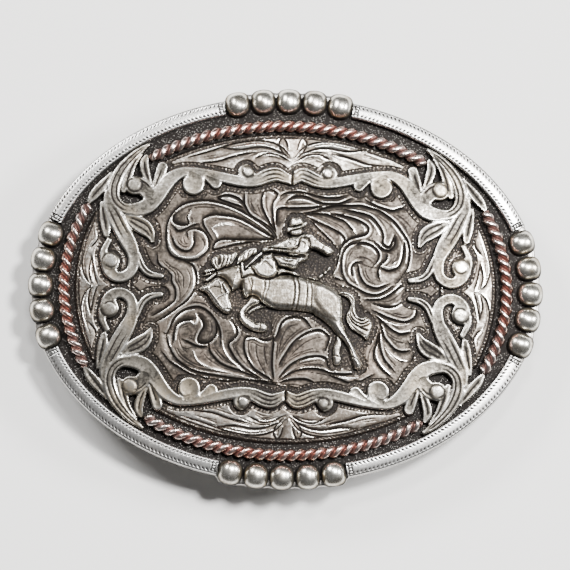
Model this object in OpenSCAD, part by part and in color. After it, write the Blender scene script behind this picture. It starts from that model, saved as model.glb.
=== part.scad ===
// Western belt buckle: a domed oval plate with ornament soldered on its face, and a belt loop and
// a hook on its back. It lies face up. Millimetres, origin under the middle, +Y towards its top.

/* [Plate] */
// Width of the plate between the bead groups' bulges
plate_w = 94; // [92:0.5:95]
// Height of the plate between the bead groups' bulges
plate_h = 71.7; // [70:0.1:73]
// Thickness of the plate
plate_t = 1.8; // [1.4:0.1:2.2]
// Radius of the dome that the plate's face follows
dome_r = 300; // [260:10:400]
// Height of the crown of the hollow back above the surface below
back_z = 10.6; // [10.2:0.1:12]

/* [Edge] */
// Width of the engraved band around the edge
band_w = 2.7; // [2:0.1:3.2]
// Height of the band above the plate
band_h = 1.6; // [1:0.1:2]
// Parameter angle at which a band ends beside the side beads
band_start = 20.6; // [20.5:0.1:22]
// Parameter angle at which a band ends beside the top or bottom beads
band_end = 75; // [73:0.1:75]

/* [Beads] */
// Width of a bead
bead_w = 4.4; // [4:0.1:4.5]
// Length of a bead, inwards from the rim
bead_l = 4.7; // [4.2:0.1:5]
// Distance from bead to bead along the edge
bead_step = 4.75; // [4.7:0.05:5]
// Height of the bead's axis above the plate
bead_axis = 0.3; // [0:0.1:0.6]
// Distance that the beads stand in from the rim
bead_in = 0.3; // [0.2:0.1:0.5]
// Overall width over the side beads
over_beads_w = 95.2; // [95:0.1:96]
// Overall height over the top and bottom beads
over_beads_h = 74.6; // [74:0.1:75]

/* [Ropes] */
// Thickness of a twisted wire
rope_d = 2.1; // [1.8:0.1:2.2]
// Half width and half height of the oval that the top wire follows
top_rope = [41, 30.1];
// The same for the bottom wire, which lies closer to its beads
low_rope = [41, 30.9];
// Half width and half height of the oval that the side wires follow
short_rope = [40.8, 33.5];
// Parameter angle from a long wire's middle to its end
long_reach = 38.5; // [36:0.5:39]
// Parameter angle from a side wire's middle to its end
short_reach = 27; // [25:0.5:27]

/* [Relief] */
// Height of the engraved inner plate above the base plate
sheet_h = 0.8; // [0.6:0.1:1]
// Half width and half height of the oval that the inner plate's side lobes follow
side_lobe = [38.9, 33.3];
// Half width and half height of the oval that its top and bottom lobes follow
top_lobe = [35.2, 28.8];
// Height of the scroll frame above the base plate
scroll_h = 1.7; // [1.5:0.1:2]
// Clearance between neighbouring pieces
gap = 0.05; // [0.03:0.01:0.1]

/* [Back] */
// Thickness of the loop's wire
wire_d = 3.4; // [3:0.1:3.6]
// Width inside the loop, for the belt
loop_in = 40; // [38:1:40]
// Bend radius at the loop's corners
loop_bend = 2.6; // [2:0.1:3]
// Distance of the loop from the middle
loop_x = 31; // [28:0.5:33]
// Diameter of the hook's peg
hook_d = 4.2; // [3.8:0.1:4.6]
// Distance of the hook from the middle
hook_x = 31; // [26:0.5:33]
// Radius of the soldered feet
foot_r = 3.6; // [3:0.1:4]
// Thickness of the soldered feet
foot_t = 1.1; // [0.8:0.1:1.4]

/* [Hidden] */
SIDES = ["top", "right", "bottom", "left"];
CORNERS = ["ne", "nw", "sw", "se"];
BEADS = 5;

back_r = dome_r;
face_r = dome_r + plate_t;
dome_z = back_z - back_r;
tall = 30;
silver = [0.78, 0.77, 0.73];
dark_silver = [0.42, 0.39, 0.35];
warm_silver = [0.66, 0.62, 0.55];
copper_silver = [0.74, 0.60, 0.50];

// A corner's mirror: 1 or -1 along X and along Y
function corner_x(c) = (c == "ne" || c == "se") ? 1 : -1;
function corner_y(c) = (c == "ne" || c == "nw") ? 1 : -1;

// The frame's halves meet a little right of the middle, at the top and at the bottom
cusp_top = 0.9;
cusp_bottom = 0.4;

// Strokes of the scroll frame in the right-hand top corner, in rows of x, y and width
band_to_corner = [
    [3.7, 20.7, 2.8], [5.5, 19.9, 2.5], [7.6, 19.5, 2.1], [10, 19.85, 2.1], [12.3, 20.35, 2.0],
    [15, 20.9, 1.9], [17.5, 21.3, 1.7], [19.5, 21.1, 2.0], [21.5, 19.9, 2.6], [23, 18.1, 2.9],
    [24.3, 16.2, 3.0], [25.8, 14.7, 3.0], [27.6, 14.0, 2.4]
];
corner_hook = [
    [27.6, 14.0, 2.4], [29.8, 14.2, 2.0], [31.3, 15.5, 1.9], [32.0, 17.6, 1.9], [31.7, 20, 1.9],
    [30.6, 22.2, 1.7], [29.4, 23.8, 1.3], [28.5, 24.5, 1.1]
];
corner_bulb = [[25.2, 16.6, 2.6], [26.6, 18.2, 3.0], [28.2, 18.6, 3.5]];
corner_strand = [
    [27.5, 25.1, 0.8], [29.0, 23.5, 1.0], [30.0, 21.4, 1.0], [30.2, 19.3, 1.0], [30.5, 17.6, 0.8]
];
side_stalk = [
    [33.2, 17.2, 1.0], [33.1, 15.4, 1.6], [31.9, 13.2, 2.7], [30.6, 10.6, 3.0], [29.2, 8.2, 3.0],
    [28.2, 6.0, 2.4], [28.05, 4.0, 2.0], [28.5, 2.5, 2.0], [29.8, 1.55, 2.0], [31.3, 1.6, 2.1],
    [32.4, 2.7, 2.6], [32.5, 4.1, 3.9]
];
side_bud = [[33.6, 6.0, 0.9], [33.1, 8.0, 0.7]];
outer_leaf = [[33.2, 17.0, 1.0], [34.3, 17.4, 1.7], [35.5, 16.9, 1.8], [36.9, 16.3, 0.7]];
side_leaf = [[34.3, 15.2, 0.5], [33.8, 12.8, 1.3], [33.4, 10.9, 1.5], [33.3, 9.6, 1.2]];
inner_leaf = [
    [29.6, 12.6, 1.0], [27.8, 11.6, 2.6], [26.2, 10.7, 2.9], [25.2, 9.6, 1.9], [24.6, 8.2, 0.7]
];
tendril = [[27.2, 5.4, 0.8], [26.3, 3.1, 0.9], [24.8, 2.0, 0.9], [22.8, 1.6, 0.5]];
twin_leaf_long = [[25.5, 18.9, 0.6], [26.3, 20.8, 1.5], [27.1, 22.0, 1.3]];
twin_leaf_short = [[24.7, 18.3, 0.7], [24.2, 20.2, 1.5], [23.6, 21.2, 1.3]];
top_curl = [[6.5, 20.4, 1.6], [7.7, 21.3, 2.9]];
teardrop = [[16.4, 21.2, 0.5], [15, 20.3, 1.1], [13.8, 19.1, 1.6]];
hanging_curl = [[18.0, 21.0, 1.8], [16.9, 19.9, 2.6], [17.9, 18.9, 3.9]];

// Corner of the inner plate from a side lobe to the top lobe, under the scrolls, in rows of x, y
plate_corner = [[33.4, 14.4], [31.2, 13.7], [29.6, 14.3], [27.6, 14.0], [25.8, 14.7], [24.3, 16.2],
    [22.9, 18.3], [21.6, 19.9]];
lobe_y = 14;
lobe_x = 20.5;

// Limbs of the rider and the horse, in rows of x, y, half width and height above the inner plate
horse_body = [[-6, -0.5, 2.3, 1.8], [-2, -1.0, 3.3, 2.2], [2, -1.1, 3.4, 2.2], [5.6, -1.8, 3.4, 2.1],
    [7.8, -3.0, 2.9, 1.9]];
horse_neck = [[-7.4, 1.3, 2.1, 1.8], [-10.4, 2.2, 1.6, 1.7], [-13, 1.2, 1.8, 1.7]];
horse_head = [[-13.2, 0.3, 2.3, 1.8], [-12.2, -2.2, 1.5, 1.6], [-11.1, -4, 0.9, 1.3]];
low_ear = [[-13.5, 1.8, 0.6, 1.2], [-15.3, 1.1, 0.35, 0.9]];
high_ear = [[-13.6, 2.7, 0.6, 1.2], [-15.2, 2.9, 0.35, 0.9]];
front_mane = [[-13.3, 4.5, 1.0, 1.1], [-10.8, 5.5, 1.0, 1.2], [-9, 5.1, 0.9, 1.2]];
rear_mane = [[-9, 5.3, 0.9, 1.2], [-7.4, 6.4, 0.9, 1.2], [-6.1, 6.8, 0.6, 1.0]];
near_foreleg = [[-6.2, -1.8, 1.3, 1.5], [-8.1, -4.9, 0.85, 1.2], [-6.6, -7, 0.9, 1.1],
    [-4.6, -7.5, 1.0, 1.1]];
far_foreleg = [[-4.8, -3.1, 0.6, 0.8], [-7.4, -4.6, 0.5, 0.8]];
near_hind_leg = [[8.3, -4, 2.4, 1.9], [9.6, -6.5, 1.3, 1.5], [10.4, -9, 0.9, 1.2],
    [12, -11.6, 0.8, 1.0], [13.2, -13.5, 0.7, 1.0], [13.6, -14.6, 0.9, 1.0]];
far_hind_leg = [[9.7, -8.6, 0.7, 0.9], [9.3, -11.3, 0.5, 0.8], [9.5, -13, 0.55, 0.8],
    [9.4, -14.1, 0.7, 0.8]];
tail = [[10.2, -1.2, 0.8, 1.1], [12, -2.2, 0.8, 1.1], [12.4, -4.5, 1.0, 1.1], [13.8, -6.6, 1.5, 1.2],
    [15, -8, 1.2, 1.1], [14.8, -9.4, 0.6, 0.9]];
breast_strap = [[-8.2, 0.4, 0.6, 1.7], [-7.5, -1.6, 0.5, 1.6]];
saddle_front = [[-7.6, 2.8, 0.9, 2.0], [-5.8, 3.2, 1.0, 2.1]];
saddle_horn = [[-8.3, 2.8, 0.5, 1.9], [-8.4, 4.4, 0.4, 1.8]];
saddle_rear = [[-1.5, 2.5, 0.6, 2.3], [1.4, 2.4, 0.5, 2.0]];
rider_body = [[1.2, 4.9, 1.3, 2.1], [1.8, 7.6, 1.9, 2.4], [3.6, 9.2, 1.3, 2.3]];
rider_head = [[1.9, 10.3, 0.8, 1.9], [1.6, 11.9, 1.35, 2.2]];
rein_arm = [[2.6, 6.9, 0.8, 2.3], [-0.6, 6.9, 0.75, 2.2], [-4.4, 7, 0.5, 2.0]];
free_arm = [[4.2, 9.3, 1.1, 2.1], [6, 8.3, 1.0, 1.9], [7.9, 6.9, 0.7, 1.6]];
rider_leg = [[1.2, 4.6, 1.1, 2.2], [-1.6, 5, 1.0, 2.4], [-3.9, 3.8, 2.4, 2.4]];
limbs = [horse_body, horse_neck, horse_head, low_ear, high_ear, front_mane, rear_mane, near_foreleg,
    far_foreleg, near_hind_leg, far_hind_leg, tail, breast_strap, saddle_front, saddle_horn,
    saddle_rear, rider_body, rider_head, rein_arm, free_arm, rider_leg];

// Points of an ellipse between two parameter angles
function arc(a, b, from, to, n) = [for (i = [0:n]) let (t = from + (to - from) * i / n)
    [a * cos(t), b * sin(t)]];

// Outward unit normal of an ellipse at a parameter angle
function normal(a, b, t) = let (v = [b * cos(t), a * sin(t)]) v / norm(v);

// Half outline of a round tip, from its point at the origin
function round_tip(r) = [for (k = [0:8]) [r * sin(k * 90 / 8), r - r * cos(k * 90 / 8)]];

// Height of the plate's face above the surface below, raised by h
function face_z(x, y, h = 0) = dome_z + sqrt(pow(face_r + h, 2) - x * x - y * y);

// Height of the plate's hollow back above the surface below
function under_z(x, y) = dome_z + sqrt(pow(back_r - gap, 2) - x * x - y * y);

// A smooth curve through the rows of a table, in steps of equal parameter
function between(a, b, c, d, t) = 0.5 * (2 * b + (c - a) * t + (2 * a - 5 * b + 4 * c - d) * t * t
    + (3 * b - a - 3 * c + d) * t * t * t);
function smooth(rows, n) = let (m = len(rows) - 1) [
    for (i = [0:m - 1], j = [0:n - 1])
        between(rows[max(i - 1, 0)], rows[i], rows[i + 1], rows[min(i + 2, m)], j / n),
    rows[m]
];

// Everything within a radius of the dome's centre
module dome(r) {
    translate([0, 0, dome_z]) sphere(r, $fn = 240);
}

// The outline below it, raised from one height above the plate's face to another
module raised(low, high) {
    difference() {
        intersection() {
            linear_extrude(tall) children();
            dome(face_r + high);
        }
        dome(face_r + low);
    }
}

// Flat outline of one stroke: its width changes from row to row, and its ends are round
module stroke(rows) {
    line = smooth(rows, 3);
    for (i = [0:len(line) - 2]) hull() for (p = [line[i], line[i + 1]])
        translate([p[0], p[1]]) circle(d = p[2], $fn = 14);
}

// Flat outline of the frame in the right-hand top corner, cut off where its halves meet
module scroll_strokes(cusp) {
    start = [[cusp, 19.85, 1.7], [1.2 + 0.6 * cusp, 20.5, 2.2], [2.3 + 0.3 * cusp, 21.0, 2.7]];
    intersection() {
        union() {
            stroke(concat(start, band_to_corner));
            for (rows = [corner_hook, corner_bulb, corner_strand, side_stalk, side_bud, outer_leaf,
                side_leaf, inner_leaf, tendril, twin_leaf_long, twin_leaf_short, top_curl, teardrop,
                hanging_curl]) stroke(rows);
        }
        translate([cusp + gap, 0.2]) square([60, 40]);
    }
}

// Where bead i of a side sits: the parameter angle on the ellipse through the beads' middles
bead_a = (over_beads_w - bead_l) / 2;
bead_b = (over_beads_h - bead_l) / 2;
function bead_turn(s, i) = let (off = (i - (BEADS + 1) / 2) * bead_step)
    s == "top" ? acos(off / bead_a) : s == "bottom" ? -acos(off / bead_a)
    : s == "right" ? asin(off / bead_b) : 180 - asin(off / bead_b);

// Outline of the plate along one side's beads: a flat for each, with a notch between
function bead_edge(s) = [for (i = s == "top" || s == "left" ? [BEADS:-1:1] : [1:BEADS], k = [-1, 1])
    let (t = bead_turn(s, i), n = normal(bead_a, bead_b, t), along = [-n[1], n[0]])
    [bead_a * cos(t), bead_b * sin(t)] + bead_l / 2 * n + k * (bead_step / 2 - 0.2) * along];

// Flat outline of the plate: the oval, with a bulge below each bead group
module plate_flat() {
    a = plate_w / 2;
    b = plate_h / 2;
    start = band_start;
    end = band_end;
    polygon(concat(
        bead_edge("right"), arc(a, b, start, end, 24),
        bead_edge("top"), arc(a, b, 180 - end, 180 - start, 24),
        bead_edge("left"), arc(a, b, 180 + start, 180 + end, 24),
        bead_edge("bottom"), arc(a, b, -end, -start, 24)
    ));
}

// The domed base plate that carries everything
module back_plate() color(dark_silver) {
    raised(-plate_t, 0) plate_flat();
}

// One engraved band along the edge, between two bead groups
module edge_band(c) color(silver) {
    a = plate_w / 2;
    b = plate_h / 2;
    n = 24;
    inner = [for (i = [n:-1:0]) let (t = band_start + (band_end - band_start) * i / n)
        [a * cos(t), b * sin(t)] - band_w * normal(a, b, t)];
    outline = concat(arc(a, b, band_start, band_end, n), inner);
    raised(gap, band_h) polygon([for (p = outline) [p[0] * corner_x(c), p[1] * corner_y(c)]]);
}

// One bead: round at its inner end and on top, flat at the rim
module bead(s, i) color(silver) {
    r = bead_w / 2;
    edge = 0.5;
    t = bead_turn(s, i);
    n = normal(bead_a, bead_b, t);
    x = bead_a * cos(t) - bead_in * n[0];
    y = bead_b * sin(t) - bead_in * n[1];
    slope = asin(norm([x, y]) / face_r);
    translate([x, y, face_z(x, y)]) rotate(atan2(n[1], n[0])) rotate([0, slope, 0])
        intersection() {
            translate([-bead_l / 2, 0, bead_axis]) rotate([0, 90, 0])
                rotate_extrude($fn = 48) polygon(concat(round_tip(r),
                    [[r, bead_l - edge], [r - edge, bead_l], [0, bead_l]]));
            translate([-bead_l, -bead_w, gap]) cube([2 * bead_l, 2 * bead_w, bead_w]);
        }
}

// A round wire on the plate's face, along an arc of an ellipse
module wire_on_face(oval, from, to, rings, sides = 8) {
    a = oval[0];
    b = oval[1];
    r = rope_d / 2;
    points = [for (i = [0:rings - 1], k = [0:sides - 1]) let (
        t = from + (to - from) * i / (rings - 1),
        x = a * cos(t), y = b * sin(t), n = normal(a, b, t), turn = (k + 0.5) * 360 / sides
    ) [x + n[0] * r * cos(turn), y + n[1] * r * cos(turn),
        face_z(x, y) + gap + r + r * sin(turn)]];
    walls = [for (i = [0:rings - 2], k = [0:sides - 1]) let (k2 = (k + 1) % sides)
        [i * sides + k, (i + 1) * sides + k, (i + 1) * sides + k2, i * sides + k2]];
    first = [for (k = [0:sides - 1]) k];
    last = [for (k = [sides - 1:-1:0]) (rings - 1) * sides + k];
    polyhedron(points, concat(walls, [first, last]));
}

// One twisted wire inside the edge band, as its outer form
module rope(s) color(copper_silver) {
    middle = s == "right" ? 0 : s == "top" ? 90 : s == "left" ? 180 : 270;
    if (s == "top" || s == "bottom")
        wire_on_face(s == "top" ? top_rope : low_rope, middle + long_reach, middle - long_reach, 30);
    else
        wire_on_face(short_rope, middle + short_reach, middle - short_reach, 22);
}

// Quarter outline of the inner plate, from the right-hand middle to the top's middle
inner_quarter = concat(
    arc(side_lobe[0], side_lobe[1], 0, asin(lobe_y / side_lobe[1]), 8),
    plate_corner,
    arc(top_lobe[0], top_lobe[1], acos(lobe_x / top_lobe[0]), 90, 10)
);

// Flat outline of the inner plate: the quarter and its mirrors
module inner_flat() {
    last = len(inner_quarter) - 1;
    left = [for (i = [last - 1:-1:0]) [-inner_quarter[i][0], inner_quarter[i][1]]];
    half = concat(inner_quarter, left);
    polygon(concat(half, [for (i = [1:len(half) - 2]) -half[i]]));
}

// The engraved plate on the base plate, with a lobe on each side of the frame
module inner_plate() color(warm_silver) {
    raised(gap, sheet_h) inner_flat();
}

// One corner of the raised scroll frame: it stands on the inner plate, and outside it on the base
module scroll(c) color(silver) {
    cusp = (corner_y(c) > 0 ? cusp_top : cusp_bottom) * corner_x(c);
    difference() {
        raised(gap, scroll_h) scale([corner_x(c), corner_y(c)]) scroll_strokes(cusp);
        raised(0, sheet_h + gap) offset(delta = gap) inner_flat();
    }
}

// A rounded form between each row of a limb's table and the next
module limb(rows) {
    for (i = [0:len(rows) - 2]) hull() for (p = [rows[i], rows[i + 1]])
        translate([p[0], p[1], face_z(p[0], p[1], sheet_h)]) scale([1, 1, p[3] / p[2]])
            sphere(p[2], $fn = 14);
}

// The rider on the bucking horse, one casting on the centre plate
module bronc_rider() color(silver) {
    difference() {
        union() for (rows = limbs) limb(rows);
        dome(face_r + sheet_h + gap);
    }
}

// The loop that the belt's end folds round: a bent wire with a foot at each end
module belt_loop() color(silver) {
    r = wire_d / 2;
    half = loop_in / 2 + r;
    foot_z = under_z(loop_x, half) - foot_t;
    intersection() {
        union() {
            translate([-loop_x, loop_bend - half, r]) rotate([-90, 0, 0])
                cylinder(h = 2 * (half - loop_bend), r = r, $fn = 48);
            for (m = [0, 1]) mirror([0, m, 0]) translate([-loop_x, half, 0]) {
                translate([0, -loop_bend, r + loop_bend]) rotate([0, 90, 0])
                    rotate_extrude(angle = 90, $fn = 96) translate([loop_bend, 0])
                        circle(r, $fn = 48);
                translate([0, 0, r + loop_bend])
                    cylinder(h = foot_z - r - loop_bend + 0.5, r = r, $fn = 48);
                translate([0, 0, foot_z]) cylinder(h = 4 * foot_t, r = foot_r, $fn = 48);
            }
        }
        dome(back_r - gap);
    }
}

// The hook: a round peg with a rounded tip, that goes through a hole in the belt
module hook() color(silver) {
    r = hook_d / 2;
    foot_z = under_z(hook_x, 0) - foot_t;
    intersection() {
        translate([hook_x, 0, 0]) rotate_extrude($fn = 96) polygon(concat(round_tip(r),
            [[r, foot_z], [foot_r, foot_z], [foot_r, foot_z + 4 * foot_t], [0, foot_z + 4 * foot_t]]));
        dome(back_r - gap);
    }
}

back_plate();
inner_plate();
bronc_rider();
belt_loop();
hook();
for (c = CORNERS) {
    edge_band(c);
    scroll(c);
}
for (s = SIDES) {
    rope(s);
    for (i = [1:BEADS]) bead(s, i);
}
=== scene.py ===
"""Looks of a domed western belt buckle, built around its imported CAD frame.

Tables and dataclass fields are in millimetres, in the part's own frame: +X right, +Y to the top of the
face, +Z out of the face, origin under the middle at the level that the buckle lies on. Meshes are put in
place in metres.
"""

from __future__ import annotations

import logging
import math
from dataclasses import dataclass
from enum import Enum
from typing import Callable, Sequence

import bpy
import numpy as np
from mathutils import Matrix, Vector

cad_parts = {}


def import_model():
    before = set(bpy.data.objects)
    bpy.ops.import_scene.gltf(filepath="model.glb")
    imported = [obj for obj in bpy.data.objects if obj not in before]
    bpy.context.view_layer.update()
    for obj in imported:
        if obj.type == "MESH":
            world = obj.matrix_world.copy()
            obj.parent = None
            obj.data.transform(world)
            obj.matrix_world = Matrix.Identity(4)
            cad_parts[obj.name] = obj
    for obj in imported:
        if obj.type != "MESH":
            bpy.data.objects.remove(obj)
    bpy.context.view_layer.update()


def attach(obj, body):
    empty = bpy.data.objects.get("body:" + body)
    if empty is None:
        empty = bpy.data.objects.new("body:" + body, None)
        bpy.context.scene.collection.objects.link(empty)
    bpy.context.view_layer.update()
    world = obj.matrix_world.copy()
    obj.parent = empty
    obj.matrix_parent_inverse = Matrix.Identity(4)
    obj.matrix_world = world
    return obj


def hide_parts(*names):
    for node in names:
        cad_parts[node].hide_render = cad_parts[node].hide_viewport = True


log = logging.getLogger("buckle")
Array = np.ndarray
Colour = tuple[float, float, float]
Rows = Sequence[Sequence[float]]
# Numbers that are x and y in turn
Trail = Sequence[float]

MM = 0.001
TONE = "tone"
SIDES = ("top", "right", "bottom", "left")
CORNERS = {"ne": (1, 1), "nw": (-1, 1), "sw": (-1, -1), "se": (1, -1)}
BEADS_A_SIDE = 5
# How strongly the black oxide mirrors: Blender's own value is 0.5
GLARE = 0.15
# How far round a line points are looked at, and a distance beyond all that matter, in millimetres
REACH = 2.5
FAR = 9.0
# Segments of an outline that are looked at together
STRETCH = 12
# Colour sockets of a Mix node
MIX_FIRST, MIX_SECOND, MIX_RESULT = 6, 7, 2


class Slot(Enum):
    """The record's material slots."""

    PLATE = "plate_silver"
    ENGRAVED = "engraved_silver"
    BRIGHT = "bright_silver"
    ROPE = "rope_copper"
    BEAD = "bead_silver"


# Curves and fields


def smooth(rows: Rows, steps: int = 6) -> Array:
    """A Catmull-Rom curve through a table's rows, all columns alike.

    Between rows b and c, with a before and d after them, it is the cubic
    (2b + (c-a)t + (2a-5b+4c-d)t^2 + (3b-a-3c+d)t^3) / 2.

    Args:
        rows: the rows that the curve passes through.
        steps: points for each stretch between two rows.
    Returns:
        The curve's points, one row each.
    """
    knots = np.asarray(rows, float)
    padded = np.vstack([knots[:1], knots, knots[-1:]])
    a, b, c, d = padded[:-3, None], padded[1:-2, None], padded[2:-1, None], padded[3:, None]
    t = (np.arange(steps) / steps)[None, :, None]
    square, cube = 2 * a - 5 * b + 4 * c - d, 3 * b - a - 3 * c + d
    curve = 0.5 * (2 * b + (c - a) * t + square * t**2 + cube * t**3)
    return np.vstack([curve.reshape(-1, knots.shape[1]), knots[-1:]])


def pairs(trail: Trail) -> Array:
    """Rows of x and y from a trail."""
    return np.reshape(trail, (-1, 2))


def ease(low: float, high: float, value: Array) -> Array:
    """The smooth step 3t^2 - 2t^3, where t runs from 0 at low to 1 at high."""
    t = np.clip((value - low) / (high - low), 0.0, 1.0)
    return t * t * (3.0 - 2.0 * t)


def union(a: Array, b: Array, blend: float) -> Array:
    """Smooth minimum: min(a, b) less h^2 * blend / 4, with h = max(blend - |a - b|, 0) / blend."""
    h = np.maximum(blend - np.abs(a - b), 0.0) / blend
    return np.minimum(a, b) - h * h * blend / 4.0


@dataclass
class Nearest:
    """Where points lie beside a line, point by point.

    Fields: distance to the line, side, which is 1 to its left and -1 to its right, share of the line's
    length that is run there, and the line's width there.
    """

    distance: Array
    side: Array
    run: Array
    width: Array


def beside(x: Array, y: Array, line: Array) -> Nearest:
    """Finds each point's nearest place on a line.

    A segment's foot is clip(((p - a) . (b - a)) / |b - a|^2, 0, 1), and the segment with the least distance
    less half its width wins.

    Args:
        x: the points' x.
        y: the points' y.
        line: rows of x, y and, if there is a third column, width.
    Returns:
        Distance, side, share of the run and width, shaped like x.
    """
    px, py = x.ravel()[:, None], y.ravel()[:, None]
    widths = line[:, 2] if line.shape[1] > 2 else np.zeros(len(line))
    ax, ay, wa = line[:-1, 0], line[:-1, 1], widths[:-1]
    ux, uy, uw = line[1:, 0] - ax, line[1:, 1] - ay, widths[1:] - wa
    length = np.maximum(np.hypot(ux, uy), 1e-9)
    foot = np.clip(((px - ax) * ux + (py - ay) * uy) / length**2, 0.0, 1.0)
    dx, dy = px - ax - foot * ux, py - ay - foot * uy
    far = np.hypot(dx, dy)
    wide = wa + foot * uw
    pick = np.argmin(far - wide / 2.0, axis=1)[:, None]
    turn = ux * (py - ay) - uy * (px - ax)
    start = np.concatenate([[0.0], np.cumsum(length)])
    run = (start[:-1] + foot * length) / start[-1]

    def chosen(values: Array) -> Array:
        """The winning segment's value at each point, shaped like x."""
        return np.take_along_axis(values, pick, axis=1).reshape(x.shape)

    return Nearest(chosen(far), np.sign(chosen(turn)) + (chosen(turn) == 0), chosen(run), chosen(wide))


def close_to(x: Array, y: Array, line: Array) -> Array:
    """Which points are within reach of the box round a line."""
    low, high = line[:, :2].min(0) - REACH, line[:, :2].max(0) + REACH
    return (x > low[0]) & (x < high[0]) & (y > low[1]) & (y < high[1])


def enclosed(x: Array, y: Array, loop: Array) -> Array:
    """Signed distance from a closed outline, negative inside.

    A point is inside where a ray from it to the right crosses the outline an odd number of times.

    Args:
        x: the points' x.
        y: the points' y.
        loop: rows of x and y, the last the same as the first.
    Returns:
        The distances, shaped like x.
    """
    odd = np.zeros(x.shape, bool)
    for (ax, ay), (bx, by) in zip(loop[:-1], loop[1:]):
        crosses = (ay > y) != (by > y)
        odd ^= crosses & (x < (bx - ax) * (y - ay) / (by - ay + 1e-12) + ax)
    far = np.full(x.shape, FAR)
    for start in range(0, len(loop) - 1, STRETCH):
        piece = loop[start:start + STRETCH + 1]
        near = close_to(x, y, piece)
        if near.any():
            far[near] = np.minimum(far[near], beside(x[near], y[near], piece).distance)
    return np.where(odd, -far, far)


@dataclass
class Chart:
    """A square grid of points over part of the face, seen from above.

    Fields: x and y of every point, in rows of equal y, and the distance from point to point.
    """

    x: Array
    y: Array
    cell: float

    @classmethod
    def over(cls, low: Sequence[float], high: Sequence[float], cell: float) -> Chart:
        """A chart from one corner to the one across from it.

        Args:
            low: x and y of the left-hand bottom corner.
            high: x and y of the right-hand top corner.
            cell: the distance from point to point.
        Returns:
            The chart.
        """
        x, y = np.meshgrid(*(np.arange(start, end + cell, cell) for start, end in zip(low, high)))
        return cls(x, y, cell)

    def snapped(self, outline: Callable[[Array, Array], Array]) -> tuple[Array, Array, Array]:
        """Moves the points next to an outline onto it, so that a mesh cut along them has a smooth edge.

        A point less than half a cell from the outline moves against the field's slope by the field's value.

        Args:
            outline: signed distance from the outline, negative inside.
        Returns:
            The new x and y, and whether each point is inside or on the outline.
        """
        value = outline(self.x, self.y)
        slope_y, slope_x = np.gradient(value, self.cell)
        steep = np.maximum(np.hypot(slope_x, slope_y), 0.3)
        near = np.abs(value) < 0.5 * self.cell
        x = np.where(near, self.x - value * slope_x / steep**2, self.x)
        y = np.where(near, self.y - value * slope_y / steep**2, self.y)
        return x, y, near | (value < 0)


def softened(values: Array, cells: float) -> Array:
    """Three passes of a moving average in both directions, about a Gaussian blur.

    Args:
        values: numbers on a chart's grid.
        cells: how wide the blur is, in cells.
    Returns:
        The blurred numbers.
    """
    half = max(int(round(cells)), 1)
    size = 2 * half + 1
    for _ in range(3):
        for axis in (0, 1):
            pad = [(half + 1, half) if i == axis else (0, 0) for i in (0, 1)]
            total = np.cumsum(np.pad(values, pad, mode="edge"), axis=axis)
            ahead = np.take(total, range(size, total.shape[axis]), axis)
            behind = np.take(total, range(0, total.shape[axis] - size), axis)
            values = (ahead - behind) / size
    return values


# Meshes


def new_piece(name: str, points: Array, faces: Sequence[Array], tone: Array | None = None,
              crease: float | None = 50.0) -> bpy.types.Object:
    """Puts arrays into a mesh object at the origin.

    Args:
        name: the piece's name.
        points: one row of x, y and z in millimetres for each vertex.
        faces: arrays of vertex numbers, each with one row for each face.
        tone: how bright the metal is at each vertex, from 0 for black oxide to 1 for polished. On some
            pieces it
        also holds painted highlights and painted shade.
        crease: edges that turn by more than this many degrees shade as sharp.
    Returns:
        The new object.
    """
    mesh = bpy.data.meshes.new(name)
    loops = np.concatenate([f.ravel() for f in faces])
    sizes = np.concatenate([np.full(len(f), f.shape[1]) for f in faces])
    starts = np.concatenate([[0], np.cumsum(sizes)[:-1]])
    mesh.vertices.add(len(points))
    mesh.vertices.foreach_set("co", (points * MM).astype(np.float32).ravel())
    mesh.loops.add(len(loops))
    mesh.loops.foreach_set("vertex_index", loops.astype(np.int32))
    mesh.polygons.add(len(sizes))
    mesh.polygons.foreach_set("loop_start", starts.astype(np.int32))
    mesh.update(calc_edges=True)
    mesh.validate()
    mesh.polygons.foreach_set("use_smooth", np.ones(len(mesh.polygons), bool))
    if crease is not None:
        mesh.set_sharp_from_angle(angle=math.radians(crease))
    values = np.ones(len(points)) if tone is None else np.asarray(tone, float).ravel()
    attribute = mesh.attributes.new(TONE, "FLOAT", "POINT")
    attribute.data.foreach_set("value", values.astype(np.float32))
    thing = bpy.data.objects.new(name, mesh)
    bpy.context.scene.collection.objects.link(thing)
    return thing


def tube_faces(rings: int, around: int) -> tuple[Array, Array, Array]:
    """Faces of a closed tube of rings of vertices: quads between neighbours, and a cap on each end.

    Args:
        rings: number of rings.
        around: number of vertices in a ring.
    Returns:
        Three arrays of vertex numbers, for the side, the first end and the last end.
    """
    i, j = np.meshgrid(np.arange(rings - 1), np.arange(around), indexing="ij")
    i, j = i.ravel() * around, j.ravel()
    j2 = (j + 1) % around
    side = np.stack([i + j, i + j2, i + around + j2, i + around + j], axis=1)
    ring = np.arange(around)[None]
    return side, ring[:, ::-1], ring + (rings - 1) * around


def rim_of(faces: Sequence[Array], count: int) -> Array:
    """The directed edges that only one face has.

    Args:
        faces: arrays of vertex numbers, each with one row for each face.
        count: the number of vertices.
    Returns:
        Rows of two vertex numbers.
    """
    edges = np.concatenate([np.stack([f, np.roll(f, -1, axis=1)], axis=2).reshape(-1, 2) for f in faces])
    forward = edges[:, 0].astype(np.int64) * count + edges[:, 1]
    back = edges[:, 1].astype(np.int64) * count + edges[:, 0]
    return edges[~np.isin(forward, back)]


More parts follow.
